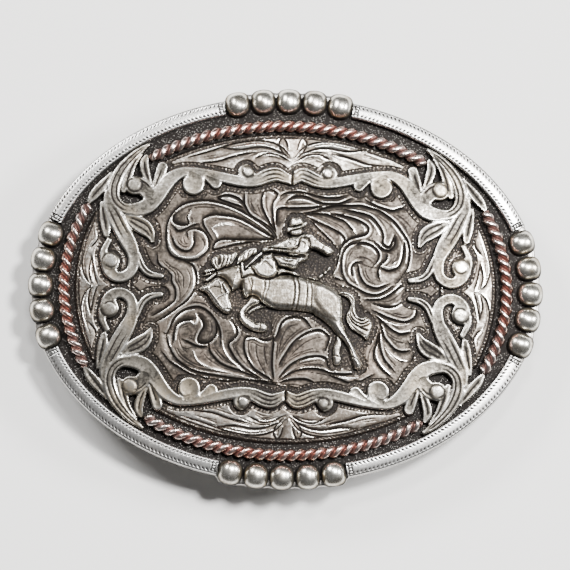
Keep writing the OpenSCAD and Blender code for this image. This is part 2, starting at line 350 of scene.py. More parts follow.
def relief(name: str, x: Array, y: Array, inside: Array, top: Array, bottom: Array, tone: Array,
           fan: bool = False) -> bpy.types.Object:
    """A closed piece between a height over a snapped chart and a lower surface.

    A cell with four corners inside makes a quad and one with three a triangle. Walls go down from the rim,
    and the underside is the same faces turned over, or for a wide plate a fan from its rim to its middle.

    Args:
        name: the piece's name.
        x: the points' x, on the chart's grid.
        y: the points' y.
        inside: whether the piece has the point.
        top: height of the face at each point.
        bottom: height of the underside at each point.
        tone: brightness of the metal at each point. It is 0.1 at the foot of the walls.
        fan: whether the underside is a fan.
    Returns:
        The new object.
    """
    number = np.arange(x.size).reshape(x.shape)
    corners = np.stack([number[:-1, :-1], number[:-1, 1:], number[1:, 1:], number[1:, :-1]], axis=-1)
    corners = corners.reshape(-1, 4)
    held = inside.ravel()[corners]
    quads = corners[held.all(1)]
    three = held.sum(1) == 3
    gone = np.argmin(held[three], axis=1)[:, None]
    triangles = np.take_along_axis(corners[three], (gone + np.array([[1, 2, 3]])) % 4, axis=1)
    faces = [f for f in (quads, triangles) if len(f)]
    used = np.unique(np.concatenate([f.ravel() for f in faces]))
    renumber = np.full(x.size, -1)
    renumber[used] = np.arange(len(used))
    faces = [renumber[f] for f in faces]
    count = len(used)
    flat_x, flat_y = x.ravel()[used], y.ravel()[used]
    upper = np.stack([flat_x, flat_y, top.ravel()[used]], axis=1)
    lower = np.stack([flat_x, flat_y, bottom.ravel()[used]], axis=1)
    rim = rim_of(faces, count)
    tones, low_tone = tone.ravel()[used], 0.1
    if not fan:
        walls = np.stack([rim[:, 1], rim[:, 0], rim[:, 0] + count, rim[:, 1] + count], axis=1)
        under = [f[:, ::-1] + count for f in faces]
        tones = np.concatenate([tones, np.full(count, low_tone)])
        return new_piece(name, np.vstack([upper, lower]), [*faces, walls, *under], tones)
    edge = np.unique(rim)
    foot = np.full(count, -1)
    foot[edge] = np.arange(len(edge)) + count
    walls = np.stack([rim[:, 1], rim[:, 0], foot[rim[:, 0]], foot[rim[:, 1]]], axis=1)
    middle = np.array([[flat_x.mean(), flat_y.mean(), lower[:, 2].mean()]])
    hub = np.full(len(rim), count + len(edge))
    under = np.stack([foot[rim[:, 1]], foot[rim[:, 0]], hub], axis=1)
    tones = np.concatenate([tones, np.full(len(edge) + 1, low_tone)])
    return new_piece(name, np.vstack([upper, lower[edge], middle]), [*faces, walls, under], tones)


# Shaders


class Value:
    """A number in a material's nodes. Operators on values add Math nodes to the same material."""

    def __init__(self, bench: Bench, socket: bpy.types.NodeSocket) -> None:
        """Wraps one output socket."""
        self.bench = bench
        self.socket = socket

    def _math(self, operation: str, *inputs: Value | float, clamp: bool = False) -> Value:
        """A Math node on some inputs."""
        settings = {"operation": operation, "use_clamp": clamp}
        return self.bench.node("ShaderNodeMath", settings, dict(enumerate(inputs)))

    def __add__(self, other: Value | float) -> Value:
        """self + other."""
        return self._math("ADD", self, other)

    def __radd__(self, other: float) -> Value:
        """other + self."""
        return self._math("ADD", other, self)

    def __sub__(self, other: Value | float) -> Value:
        """self - other."""
        return self._math("SUBTRACT", self, other)

    def __rsub__(self, other: float) -> Value:
        """other - self."""
        return self._math("SUBTRACT", other, self)

    def __mul__(self, other: Value | float) -> Value:
        """self * other."""
        return self._math("MULTIPLY", self, other)

    def __rmul__(self, other: float) -> Value:
        """other * self."""
        return self._math("MULTIPLY", other, self)

    def clamped(self) -> Value:
        """self held between 0 and 1."""
        return self._math("ADD", self, 0.0, clamp=True)

    def spread(self, low: float, high: float, to_low: float = 0.0, to_high: float = 1.0) -> Value:
        """Eases self from one range to another with the smooth step 3t^2 - 2t^3, and holds it there.

        Args:
            low: where the first range starts.
            high: where it ends.
            to_low: where the second range starts.
            to_high: where it ends.
        Returns:
            The eased value.
        """
        inputs = {"Value": self, "From Min": low, "From Max": high, "To Min": to_low, "To Max": to_high}
        return self.bench.node("ShaderNodeMapRange", {"interpolation_type": "SMOOTHSTEP"}, inputs)


class Bench:
    """One material's nodes."""

    def __init__(self, name: str) -> None:
        """Starts an empty material.

        Args:
            name: the material's name.
        """
        self.material = bpy.data.materials.new(name)
        self.material.use_nodes = True
        self.tree = self.material.node_tree
        self.tree.nodes.clear()

    def node(self, kind: str, settings: dict | None = None, inputs: dict | None = None,
             output: int | str = 0) -> Value:
        """Adds a node.

        Args:
            kind: the node's type.
            settings: its properties, set before its sockets. The key stops holds a ramp's places and
                colours.
            inputs: values or links of its sockets, by name or number.
            output: which output to return.
        Returns:
            The output, as a value.
        """
        made = self.tree.nodes.new(kind)
        for key, setting in (settings or {}).items():
            if key == "stops":
                self._fill(made.color_ramp, setting)
            else:
                setattr(made, key, setting)
        for key, given in (inputs or {}).items():
            if isinstance(given, Value):
                self.tree.links.new(given.socket, made.inputs[key])
            else:
                made.inputs[key].default_value = given
        return Value(self, made.outputs[output])

    @staticmethod
    def _fill(ramp: bpy.types.ColorRamp, stops: Sequence[tuple[float, Colour]]) -> None:
        """Sets a ramp's stops.

        Args:
            ramp: the ramp.
            stops: places from 0 to 1 and their colours.
        """
        while len(ramp.elements) < len(stops):
            ramp.elements.new(0.5)
        for element, (place, colour) in zip(ramp.elements, stops):
            element.position = place
            element.color = (*colour, 1.0)

    def closed(self, shader: Value) -> bpy.types.Material:
        """Joins a shader to the material's output.

        Args:
            shader: the shader.
        Returns:
            The material.
        """
        end = self.tree.nodes.new("ShaderNodeOutputMaterial")
        self.tree.links.new(shader.socket, end.inputs["Surface"])
        return self.material

    def noise(self, place: Value, size: float, detail: float, roughness: float = 0.55) -> Value:
        """Noise over the piece.

        Args:
            place: the coordinates that it follows.
            size: about how large its features are, in millimetres.
            detail: how many times finer noise is added.
            roughness: how strongly.
        Returns:
            The noise, from 0 to 1.
        """
        inputs = {"Vector": place, "Scale": 1.0 / (size * MM), "Detail": detail, "Roughness": roughness}
        return self.node("ShaderNodeTexNoise", {"noise_dimensions": "3D"}, inputs)

    def ramp(self, level: Value, *stops: tuple[float, Colour]) -> Value:
        """The colour at a level, between stops of a place and a colour."""
        return self.node("ShaderNodeValToRGB", {"stops": stops}, {0: level})

    def blend(self, share: Value, first: Value, second: Value | Colour) -> Value:
        """A colour between two others.

        Args:
            share: how much of the second one it has, from 0 to 1.
            first: the first one.
            second: the second one.
        Returns:
            The colour.
        """
        other = second if isinstance(second, Value) else (*second, 1.0)
        sockets = {0: share, MIX_FIRST: first, MIX_SECOND: other}
        return self.node("ShaderNodeMix", {"data_type": "RGBA"}, sockets, MIX_RESULT)

    def metal(self, colour: Value, metallic: Value, roughness: Value, height: Value) -> bpy.types.Material:
        """Closes the material with a metal.

        Args:
            colour: its colour.
            metallic: how far it is metal, and not oxide.
            roughness: its roughness.
            height: its fine relief in millimetres.
        Returns:
            The material.
        """
        bump = self.node("ShaderNodeBump", {}, {"Height": height, "Distance": MM, "Strength": 1.0})
        inputs = {"Base Color": colour, "Metallic": metallic, "Roughness": roughness, "Normal": bump,
                  "Specular IOR Level": GLARE}
        return self.closed(self.node("ShaderNodeBsdfPrincipled", {}, inputs))


@dataclass(frozen=True)
class Finish:
    """A metal that is blackened in its cuts and worn bright on its high points. On some pieces the tone
    that drives it also holds painted highlights and painted shade.

    Fields: the material's name and slot; its colours in the cuts, on plain metal and on polished points;
    the tarnish's tint, how much of it shows and the size of its patches; roughness of the bright metal,
    which is smoothness, and of the dark; how strongly stains, which are mottle, and specks, which are
    grain, vary the tone; depth of the fine scratches; and the stippling's depth, size and effect on the
    tone.
    """

    name: str
    slot: Slot
    oxide: Colour = (0.012, 0.010, 0.009)
    body: Colour = (0.30, 0.285, 0.265)
    bright: Colour = (0.80, 0.785, 0.75)
    tint: Colour = (0.36, 0.27, 0.19)
    tinted: float = 0.35
    patch: float = 9.0
    smoothness: float = 0.26
    roughness: float = 0.62
    mottle: float = 0.7
    grain: float = 0.9
    scratches: float = 0.007
    stipple: float = 0.0
    stipple_size: float = 0.42
    stippled: float = 0.5

    def material(self) -> bpy.types.Material:
        """Builds the material.

        The level is the tone attribute plus stains, specks and streaks of noise. It picks the colour, and
        how metallic and rough the metal is. Only dark places, where the tone is under 0.5, are stippled.

        Returns:
            The material.
        """
        bench = Bench(self.name)
        place = bench.node("ShaderNodeTexCoord", output="Object")
        tone = bench.node("ShaderNodeAttribute", {"attribute_name": TONE}, output="Fac")
        stains = bench.noise(place, 5.0, 5.0)
        specks = bench.noise(place, 0.55, 3.0, 0.7)
        stretch = {"Vector": place, "Scale": (1.0, 9.0, 1.0), "Rotation": (0.0, 0.0, 0.6)}
        streaks = bench.noise(bench.node("ShaderNodeMapping", {}, stretch), 1.6, 6.0, 0.75)
        level = tone + (stains - 0.5) * self.mottle + (specks - 0.5) * self.grain
        level = level + (streaks - 0.5) * (0.4 * self.grain)
        height = streaks * self.scratches + specks * (self.scratches * 0.8)
        if self.stipple:
            inputs = {"Vector": place, "Scale": 1.0 / (self.stipple_size * MM), "Smoothness": 0.3}
            cells = bench.node("ShaderNodeTexVoronoi", {"feature": "SMOOTH_F1"}, inputs)
            ground = 1.0 - tone.spread(0.3, 0.5)
            level = level + (0.5 - cells.spread(0.08, 0.55)) * ground * self.stippled
            height = height - cells.spread(0.05, 0.5) * ground * self.stipple
        level = level.clamped()
        dark = tuple(0.22 * channel for channel in self.body)
        colour = bench.ramp(level, (0.0, self.oxide), (0.24, dark), (0.55, self.body), (1.0, self.bright))
        patches = bench.noise(place, self.patch, 3.0).spread(0.47, 0.66) * self.tinted
        colour = bench.blend(patches * level.spread(0.15, 0.5) * (1.0 - level * 0.6), colour, self.tint)
        rough = level.spread(0.1, 0.9, self.roughness, self.smoothness) + (specks - 0.5) * 0.16
        return bench.metal(colour, level.spread(0.0, 0.35, 0.55, 1.0), rough.clamped(), height)


ORNAMENT = Finish("worn_silver_painted_highlight", Slot.BRIGHT, body=(0.160, 0.146, 0.124), bright=(0.90, 0.875, 0.815),
                  tint=(0.34, 0.27, 0.18), tinted=0.5, smoothness=0.21)
BAND = Finish("band_silver", Slot.BRIGHT, body=(0.36, 0.355, 0.345), bright=(0.64, 0.63, 0.61), tinted=0.18,
              mottle=0.6, grain=1.3)
ENGRAVED = Finish("engraved_silver", Slot.ENGRAVED, body=(0.122, 0.103, 0.085), bright=(0.90, 0.855, 0.78),
                  tint=(0.17, 0.128, 0.102), tinted=0.5, smoothness=0.22, roughness=0.55, grain=0.75)
CASTING = Finish("cast_silver", Slot.BRIGHT, body=(0.165, 0.144, 0.116), bright=(0.82, 0.79, 0.72),
                 tint=(0.30, 0.225, 0.14), tinted=0.5, mottle=0.6, grain=0.8)
BALL = Finish("bead_silver", Slot.BEAD, body=(0.29, 0.265, 0.22), bright=(0.88, 0.85, 0.77), tinted=0.95,
              tint=(0.27, 0.21, 0.125), patch=2.2, smoothness=0.25, grain=0.8)
PLATE = Finish("plate_silver", Slot.PLATE, tinted=0.15, mottle=0.4, grain=0.45, stipple=0.06,
               stipple_size=0.34, stippled=0.55)
BACK = Finish("back_silver", Slot.PLATE, body=(0.40, 0.385, 0.36), bright=(0.62, 0.61, 0.585),
              smoothness=0.34, mottle=0.4, grain=0.5)


# Pieces


@dataclass(frozen=True)
class Dome:
    """The sphere that the plate's face follows. Heights are above the level that the buckle lies on."""

    radius: float = 301.8
    thickness: float = 1.8
    centre: float = -289.4
    # Left for the solder below a part
    gap: float = 0.05

    def face(self, x: Array, y: Array, lift: Array | float = 0.0) -> Array:
        """Height of the face raised by lift: centre + sqrt((radius + lift)^2 - x^2 - y^2)."""
        return self.centre + np.sqrt((self.radius + lift) ** 2 - x * x - y * y)


DOME = Dome()


@dataclass(frozen=True)
class Oval:
    """An ellipse in the plan, with half width a and half height b."""

    a: float
    b: float

    def at(self, turn: Array) -> tuple[Array, Array]:
        """The points at some parameter angles in degrees."""
        t = np.radians(turn)
        return self.a * np.cos(t), self.b * np.sin(t)

    def normal(self, turn: Array) -> tuple[Array, Array]:
        """The outward unit normals (b cos t, a sin t) / length there.

        Args:
            turn: parameter angles in degrees.
        Returns:
            Their x and y.
        """
        t = np.radians(turn)
        nx, ny = self.b * np.cos(t), self.a * np.sin(t)
        size = np.hypot(nx, ny)
        return nx / size, ny / size

    def run(self, turn: Array) -> Array:
        """The length along the ellipse from the first angle to each one."""
        x, y = self.at(turn)
        return np.concatenate([[0.0], np.cumsum(np.hypot(np.diff(x), np.diff(y)))])


def place(thing: bpy.types.Object, material: bpy.types.Material, slot: Slot, *nodes: str) -> None:
    """Gives a piece its material, rides it on the buckle, and says which nodes it stands for.

    Args:
        thing: the piece.
        material: its material.
        slot: not used.
        nodes: the names of the nodes.
    """
    thing.data.materials.append(material)
    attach(thing, "root")
    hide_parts(*nodes)
    log.info("%s: %d faces, for %s", thing.name, len(thing.data.polygons), ", ".join(nodes))


@dataclass
class BasePlate:
    """The domed plate: a stippled ground on its face, a rounded rim, and a plain hollow back.

    Fields: the oval, how far the rim stands out below the side beads and below the top and bottom beads,
    depth of the notches between beads, half length of a bead group, distance from bead to bead, the
    number of points on a ring, radius of the rim's rounding, and the number of rings that each rounding
    takes.
    """

    oval: Oval = Oval(47.0, 35.85)
    side_bulge: float = 0.2
    end_bulge: float = 1.05
    notch: float = 0.3
    group: float = 11.9
    step: float = 4.75
    spokes: int = 640
    rounding: float = 0.35
    rounds: int = 4

    def rim(self) -> tuple[Array, Array]:
        """The outline: the oval moved outwards beside the beads.

        It moves by bulge - notch * (1 - |cos(pi * offset / step)|^0.6), where offset is the distance from
        the middle of the side.

        Returns:
            x and y of a ring of points.
        """
        turn = np.arange(self.spokes) * 360.0 / self.spokes
        x, y = self.oval.at(turn)
        nx, ny = self.oval.normal(turn)
        out = np.zeros_like(x)
        for off, bulge, across in ((y, self.side_bulge, np.abs(nx)), (x, self.end_bulge, np.abs(ny))):
            window = ease(self.group + 0.4, self.group - 0.5, np.abs(off)) * (across > 0.8)
            notch = self.notch * (1.0 - np.abs(np.cos(np.pi * off / self.step)) ** 0.6)
            out += window * (bulge - notch)
        return x + out * nx, y + out * ny

    def build(self) -> None:
        """Makes rings from the middle of the face over the rim and back to the middle of the underside."""
        edge_x, edge_y = self.rim()
        size = float(np.abs(edge_x).max())
        # Shares of the way from the middle to the rim, closest together near the rim of the face
        middle = [0.0002]
        face = np.concatenate([middle, np.linspace(0.08, 0.72, 9), np.linspace(0.74, 0.985, 26)])
        back = np.concatenate([[0.98], np.linspace(0.94, 0.06, 15), middle])
        bend = np.radians(np.linspace(0, 90, self.rounds + 1)[1:])
        edge = 1.0 - self.rounding * (1 - np.sin(bend)) / size
        drop = self.rounding * (1 - np.cos(bend))
        share = np.concatenate([face, edge, edge[::-1], back])
        x, y = share[:, None] * edge_x, share[:, None] * edge_y
        top, low = len(face), len(face) + 2 * self.rounds
        z = DOME.face(x, y)
        z[top:low] -= np.concatenate([drop, DOME.thickness - drop[::-1]])[:, None]
        z[low:] = DOME.face(x[low:], y[low:], -DOME.thickness)
        tone = np.full(x.shape, 0.14)
        tone[:top] += 0.55 * ease(0.955, 0.99, share[:top])[:, None]
        tone[top:low] = 0.62
        tone[low:] = 0.60
        points = np.stack([x, y, z], axis=-1).reshape(-1, 3)
        faces = [f[:, ::-1] for f in tube_faces(len(share), self.spokes)]
        plate = new_piece("base_plate", points, faces, tone)
        place(plate, PLATE.material(), PLATE.slot, "back_plate")


@dataclass
class EdgeBand:
    """A raised band along the rim, with a wriggled line near each edge and cross cuts at its ends.

    Fields: the oval of its outer edge, the angles that it runs between, its width, height and bevel, how
    far from its edges the wriggled lines lie, their pitch, depth and half width, and the mesh's steps
    along and across.
    """

    oval: Oval = Oval(47.0, 35.85)
    start: float = 20.6
    end: float = 75.0
    width: float = 2.7
    height: float = 1.6
    bevel: float = 0.28
    inset: float = 0.62
    pitch: float = 0.78
    depth: float = 0.10
    line: float = 0.17
    along: int = 430
    across: int = 21

    def build(self) -> None:
        """Sweeps the band's profile along the oval, once for each corner."""
        material = BAND.material()
        inward, rise, wall = self.profile()
        turn = np.linspace(self.start, self.end, self.along)
        cut = self.cuts(inward, self.oval.run(turn))
        x0, y0 = self.oval.at(turn)
        nx, ny = self.oval.normal(turn)
        x = x0[:, None] - inward * nx[:, None]
        y = y0[:, None] - inward * ny[:, None]
        z = DOME.face(x, y, rise - self.depth * cut)
        tone = np.maximum(wall - 1.9 * cut, 0.0)
        tube = tube_faces(self.along, len(inward))
        for corner, (sx, sy) in CORNERS.items():
            points = np.stack([x * sx, y * sy, z], axis=-1).reshape(-1, 3)
            faces = [f[:, ::-1] for f in tube] if sx * sy > 0 else tube
            band = new_piece(f"edge_band_{corner}_engraved", points, faces, tone)
            place(band, material, BAND.slot, f"edge_band_{corner}")

    def profile(self) -> tuple[Array, Array, Array]:
        """The band's section, from the foot of its outer wall over its crown to the foot of its inner wall.

        The crown's height falls by 0.1 * share^2, where share runs from 0 at its middle to 1 at the edges.

        Returns:
            Distance from the outer edge, height over the plate's face, and tone, point by point.
        """
        flat = np.linspace(self.bevel, self.width - self.bevel, self.across)
        crown = self.height - 0.10 * ((flat - self.width / 2) / (self.width / 2)) ** 2
        foot = [DOME.gap, 0.3]
        inner = self.width - np.array([0.08, 0.0, 0.0, 0.0])
        outer_wall, inner_wall = self.height - np.array([0.3, 0.16]), self.height - np.array([0.2, 0.34])
        inward = np.concatenate([[0.0, 0.0, 0.02, 0.10], flat, inner])
        rise = np.concatenate([foot, outer_wall, crown, inner_wall, foot[::-1]])
        tone = np.concatenate([[0.25, 0.45, 0.8, 0.85], np.full(self.across, 0.82), [0.8, 0.6, 0.25, 0.1]])
        return inward, rise, tone

    def cuts(self, inward: Array, run: Array) -> Array:
        """How deep each point is cut, from 0 to 1.

        A wriggled line is a row of slanted dashes: exp(-(distance / line)^2) where cos(2 pi run / pitch) is
        high. The cross cuts near the ends are lines of equal run, with short ticks between.

        Args:
            inward: the section's distances from the outer edge.
            run: the rings' places along the band.
        Returns:
            The cuts, with a row for each ring.
        """
        deep = np.zeros((len(run), len(inward)))
        for inset, slant in ((self.inset, 1.0), (self.width - self.inset, -1.0)):
            off = inward - inset
            phase = np.cos(2 * np.pi * (run[:, None] + slant * off * 0.8) / self.pitch)
            deep = np.maximum(deep, np.exp(-((off / self.line) ** 2)) * ease(0.0, 0.5, phase))
        from_end = np.minimum(run, run[-1] - run)[:, None]
        inner = ease(0.2, 0.4, inward) * ease(self.width - 0.2, self.width - 0.4, inward)
        for cross_cut in (0.35, 1.0):
            deep = np.maximum(deep, np.exp(-(((from_end - cross_cut) / 0.09) ** 2)) * inner)
        ticks = ease(0.1, 0.7, np.cos(2 * np.pi * inward / 0.5))
        return np.maximum(deep, 0.8 * ticks * np.exp(-(((from_end - 0.68) / 0.2) ** 2)) * inner)


@dataclass
class BeadGroups:
    """Five round-ended beads on each side of the rim.

    Fields: width and length of a bead, distance from bead to bead, height of its axis above the face, how
    far it stands in, the oval over the beads, and the mesh's steps.
    """

    width: float = 4.62
    length: float = 4.7
    step: float = 4.75
    axis: float = 0.3
    inset: float = 0.25
    oval: Oval = Oval(47.6, 37.3)
    along: int = 26
    around: int = 36

    def build(self) -> None:
        """Makes the beads from a profile turned about an axis that points out of the rim."""
        material = BALL.material()
        rng = np.random.default_rng(7)
        faces = tube_faces(self.along, self.around)
        for side in SIDES:
            for i in range(1, BEADS_A_SIDE + 1):
                points, tone = self.bead(side, i, rng.uniform(-1.0, 1.0, 4))
                ball = new_piece(f"bead_{side}_{i}_ball", points, faces, tone, crease=None)
                place(ball, material, BALL.slot, f"bead_{side}_{i}")

    def bead(self, side: str, i: int, wear: Array) -> tuple[Array, Array]:
        """One bead's points and tones.

        Its half width along the axis is half the width times (1 - |u|^p)^(1/p), with p = 2.3 towards the
        tip and 3.2 towards the rim, where the bead is cut flat. Its height is no more than the same with
        p = 2.1.

        Args:
            side: the side of the rim.
            i: the bead's number on its side.
            wear: four numbers between -1 and 1 that make this bead a little different.
        Returns:
            Points and tones, ring by ring from the tip.
        """
        middle = Oval(self.oval.a - self.length / 2, self.oval.b - self.length / 2)
        off = (i - (BEADS_A_SIDE + 1) / 2) * self.step
        along_side = math.degrees(math.asin(off / middle.b))
        along_end = math.degrees(math.acos(off / middle.a))
        turn = {"right": along_side, "left": 180 - along_side, "top": along_end, "bottom": -along_end}[side]
        x, y = (float(v) for v in middle.at(turn))
        nx, ny = (float(v) for v in middle.normal(turn))
        x, y = x - self.inset * nx, y - self.inset * ny
        u = -np.cos(np.linspace(0.03, np.pi - 0.22, self.along))
        power = np.where(u < 0, 2.3, 3.2)
        full = self.width / 2 * (1 + 0.012 * wear[0])
        radius = full * (1 - np.abs(u) ** power) ** (1 / power)
        rise = full * (1 - np.abs(0.96 * u) ** 2.1) ** (1 / 2.1)
        u = u / np.abs(u[-1])
        u[u < 0] = u[u < 0] / np.abs(u[0])
        v = np.linspace(0, 2 * np.pi, self.around, endpoint=False)
        out = (u * self.length / 2)[:, None] * np.ones_like(v)
        across = radius[:, None] * np.cos(v)
        up = self.axis + (1 + 0.03 * wear[1]) * np.minimum(rise, radius)[:, None] * np.sin(v)
        dent = 0.06 * np.exp(-((out - wear[2]) ** 2 + (across - wear[3]) ** 2) / 0.8)
        up = np.maximum(np.where(up > 1.0, up - dent, up), DOME.gap)
        tone = 0.95 * ease(0.9, 2.0, up) - 1.6 * dent
        slope = math.asin(math.hypot(x, y) / DOME.radius)
        lean = Matrix.Rotation(math.atan2(ny, nx), 3, "Z") @ Matrix.Rotation(slope, 3, "Y")
        local = np.stack([out, across, up], axis=-1).reshape(-1, 3)
        base = np.array([x, y, float(DOME.face(np.array(x), np.array(y)))])
        return local @ np.array(lean).T + base, tone.ravel()


@dataclass
class Ropes:
    """Twisted wires inside the rim: two strands wound tightly round each other.

    Fields: outer diameter, length of one full twist, the ovals that the top, the bottom and the side
    wires follow, how many degrees the long and the short wires reach to each side, the share of the
    radius that the groove between the strands leaves, the strands' roundness, which is fuller where it is
    less, and the mesh's step along and points around.
    """

    diameter: float = 2.3
    twist: float = 3.86
    top_oval: Oval = Oval(41.0, 30.1)
    low_oval: Oval = Oval(41.0, 30.9)
    short_oval: Oval = Oval(40.8, 33.5)
    long_reach: float = 38.5
    short_reach: float = 27.0
    core: float = 0.36
    fullness: float = 0.8
    cell: float = 0.13
    around: int = 40

    def build(self) -> None:
        """Makes the four wires."""
        material = self.material()
        for number, side in enumerate(SIDES):
            middle = 90.0 - 90.0 * number
            short = side in ("right", "left")
            oval = {"top": self.top_oval, "bottom": self.low_oval}.get(side, self.short_oval)
            reach = self.short_reach if short else self.long_reach
            turn = middle + np.linspace(reach, -reach, 2000)
            run = oval.run(turn)
            turn = np.interp(np.arange(0.0, run[-1], self.cell), run, turn)
            points, tone, copper = self.surface(oval, turn)
            faces = tube_faces(len(turn), self.around)
            wire = new_piece(f"rope_{side}_twisted", points, faces, tone, crease=None)
            attribute = wire.data.attributes.new("copper", "FLOAT", "POINT")
            attribute.data.foreach_set("value", copper.astype(np.float32))
            place(wire, material, Slot.ROPE, f"rope_{side}")

    def surface(self, oval: Oval, turn: Array) -> tuple[Array, Array, Array]:
        """The twisted pair as one surface round the wire's axis.

        At an angle v round the axis its radius is R * (core + (1 - core) * |cos(v - w)|^fullness), where
        the twist w is -2 pi run / twist. Within half a diameter of an end the radius falls as a quarter
        circle. The top is worn nearly flat.

        Args:
            oval: the oval that the wire follows.
            turn: parameter angles of the rings.
        Returns:
            Points, tones and how coppery each point is.
        """
        x, y = oval.at(turn)
        nx, ny = oval.normal(turn)
        run = oval.run(turn)[:, None]
        v = np.linspace(0, 2 * np.pi, self.around, endpoint=False)[None, :]
        lobe = np.abs(np.cos(v + 2 * np.pi * run / self.twist)) ** self.fullness
        half = self.diameter / 2
        end = np.clip(np.minimum(run, run[-1] - run) / half, 0.03, 1.0)
        radius = half * (self.core + (1 - self.core) * lobe) * np.sqrt(1 - (1 - end) ** 2)
        out, lift = radius * np.cos(v), half + radius * np.sin(v)
        worn = self.diameter - 0.07
        lift = np.where(lift > worn, worn + 0.25 * (lift - worn), lift)
        px, py = x[:, None] + out * nx[:, None], y[:, None] + out * ny[:, None]
        points = np.stack([px, py, DOME.face(px, py, DOME.gap + lift)], axis=-1)
        ridge = ease(0.30, 0.74, lobe)
        tone = (0.06 + 0.84 * ridge) * ease(0.1, 0.9, lift)
        middle = np.exp(-(((run - run[-1] / 2) / (0.33 * run[-1])) ** 2))
        copper = (0.50 + 0.60 * middle) * (1.0 - 0.50 * ease(0.80, 1.0, lobe) * ease(1.45, 1.95, lift))
        return points.reshape(-1, 3), tone.ravel(), copper.ravel()

    def material(self) -> bpy.types.Material:
        """Copper that shows through worn silver: the copper attribute mixes the two, and tone darkens both.

        Returns:
            The material.
        """
        silver = Finish("rope_copper", Slot.ROPE)
        bench = Bench(silver.name)
        where = bench.node("ShaderNodeTexCoord", output="Object")
        tone = bench.node("ShaderNodeAttribute", {"attribute_name": TONE}, output="Fac")
        copper = bench.node("ShaderNodeAttribute", {"attribute_name": "copper"}, output="Fac")
        stains = bench.noise(where, 1.2, 3.0)
        level = (tone + (stains - 0.5) * 0.3).clamped()
        white = bench.ramp(level, (0.0, silver.oxide), (0.5, silver.body), (1.0, silver.bright))
        dark, plain, polished = (0.02, 0.008, 0.006), (0.37, 0.15, 0.12), (0.78, 0.48, 0.41)
        red = bench.ramp(level, (0.0, dark), (0.5, plain), (1.0, polished))
        share = (copper + (bench.noise(where, 2.5, 2.0) - 0.5) * 0.7).clamped()
        colour = bench.blend(share, white, red)
        rough = level.spread(0.1, 0.9, 0.6, 0.24)
        return bench.metal(colour, level.spread(0.0, 0.3, 0.6, 1.0), rough, stains * 0.01)


@dataclass(frozen=True)
class Stroke:
    """One stroke of the scroll frame, as rows of x, y and width in the right-hand top corner.

    Fields: the rows; where engraved lines run along it, as shares of its half width from the right edge,
    -1, to the left edge, 1; the share of its run that they take; and how far its middle is scooped out.
    """

    rows: Rows
    lines: tuple[float, ...] = ()
    span: tuple[float, float] = (0.0, 1.0)
    scoop: float = 0.12


BAND_TO_CORNER = (
    (3.7, 20.7, 2.8), (5.5, 19.9, 2.5), (7.6, 19.5, 2.1), (10, 19.85, 2.1), (12.3, 20.35, 2.0),
    (15, 20.9, 1.9), (17.5, 21.3, 1.7), (19.5, 21.1, 2.0), (21.5, 19.9, 2.6), (23, 18.1, 2.9),
    (24.3, 16.2, 3.0), (25.8, 14.7, 3.0), (27.6, 14.0, 2.4))
STROKES = (
    Stroke(((27.0, 14.2, 2.6), (29.8, 14.2, 2.0), (31.6, 15.6, 2.1), (32.1, 17.6, 2.3), (31.6, 19.8, 2.3),
            (30.4, 22.0, 2.0), (28.2, 24.4, 1.5), (25.9, 26.2, 0.6)), (-0.3, 0.45), (0.1, 1.0)),
    Stroke(((25.2, 16.6, 2.6), (26.6, 18.2, 3.0), (28.2, 18.6, 3.5)), (0.55,), (0.3, 1.0), 0.2),
    Stroke(((27.1, 24.5, 0.5), (28.5, 22.5, 1.1), (29.3, 20.5, 1.5), (29.8, 18.7, 1.4), (30.2, 17.6, 0.9)),
           (0.0,), (0.1, 0.9), 0.2),
    Stroke(((33.2, 17.2, 1.0), (33.1, 15.4, 1.6), (31.9, 13.2, 2.7), (30.6, 10.6, 3.0), (29.2, 8.2, 3.0),
            (28.2, 6.0, 2.4), (28.05, 4.0, 2.0), (28.5, 2.5, 2.0), (29.8, 1.55, 2.0), (31.3, 1.6, 2.1),
            (32.4, 2.7, 2.6), (32.4, 4.3, 3.6)), (-0.4, 0.35), (0.1, 0.45), 0.16),
    Stroke(((33.4, 5.0, 1.9), (33.6, 6.3, 1.3), (32.7, 8.2, 1.0))),
    Stroke(((36.5, 15.5, 0.8), (35.6, 16.8, 1.8), (34.2, 18.5, 1.8), (32.5, 20.8, 0.6)),
           (0.0,), (0.1, 0.9), 0.2),
    Stroke(((34.2, 15.2, 0.6), (33.8, 13.0, 1.5), (33.4, 11.0, 1.8), (33.2, 9.4, 1.2)),
           (0.0,), (0.1, 0.9), 0.2),
    Stroke(((29.6, 12.6, 1.0), (27.8, 11.6, 2.6), (26.2, 10.7, 2.9), (25.2, 9.6, 1.9), (24.6, 8.2, 0.7)),
           (-0.35, 0.3), (0.1, 0.85), 0.22),
    Stroke(((27.2, 5.6, 1.0), (26.3, 3.3, 1.3), (24.9, 2.1, 1.25), (22.9, 1.7, 0.95)), (0.0,), (0.1, 0.8)),
    Stroke(((25.3, 18.9, 0.7), (26.2, 21.0, 1.6), (26.5, 22.7, 1.6), (26.1, 24.0, 0.8)),
           (0.0,), (0.1, 0.85), 0.2),
    Stroke(((24.5, 18.3, 0.7), (23.7, 20.3, 1.8), (23.1, 22.1, 1.9)), (0.0,), (0.1, 0.85), 0.2),
    Stroke(((6.5, 20.4, 1.6), (7.7, 21.3, 2.9)), scoop=0.2),
    Stroke(((16.4, 21.3, 0.5), (15, 20.4, 1.2), (13.2, 19.1, 2.1)), scoop=0.2),
    Stroke(((18.0, 21.0, 1.8), (16.9, 19.9, 2.6), (17.3, 18.9, 4.1)), scoop=0.2),
)
# The round eyes that curls end in: x, y, radius, and the angle in degrees where the spiral groove starts
EYES = ((28.3, 18.7, 1.6, 90.0), (32.3, 4.4, 1.65, 330.0), (7.4, 21.3, 1.25, 40.0))


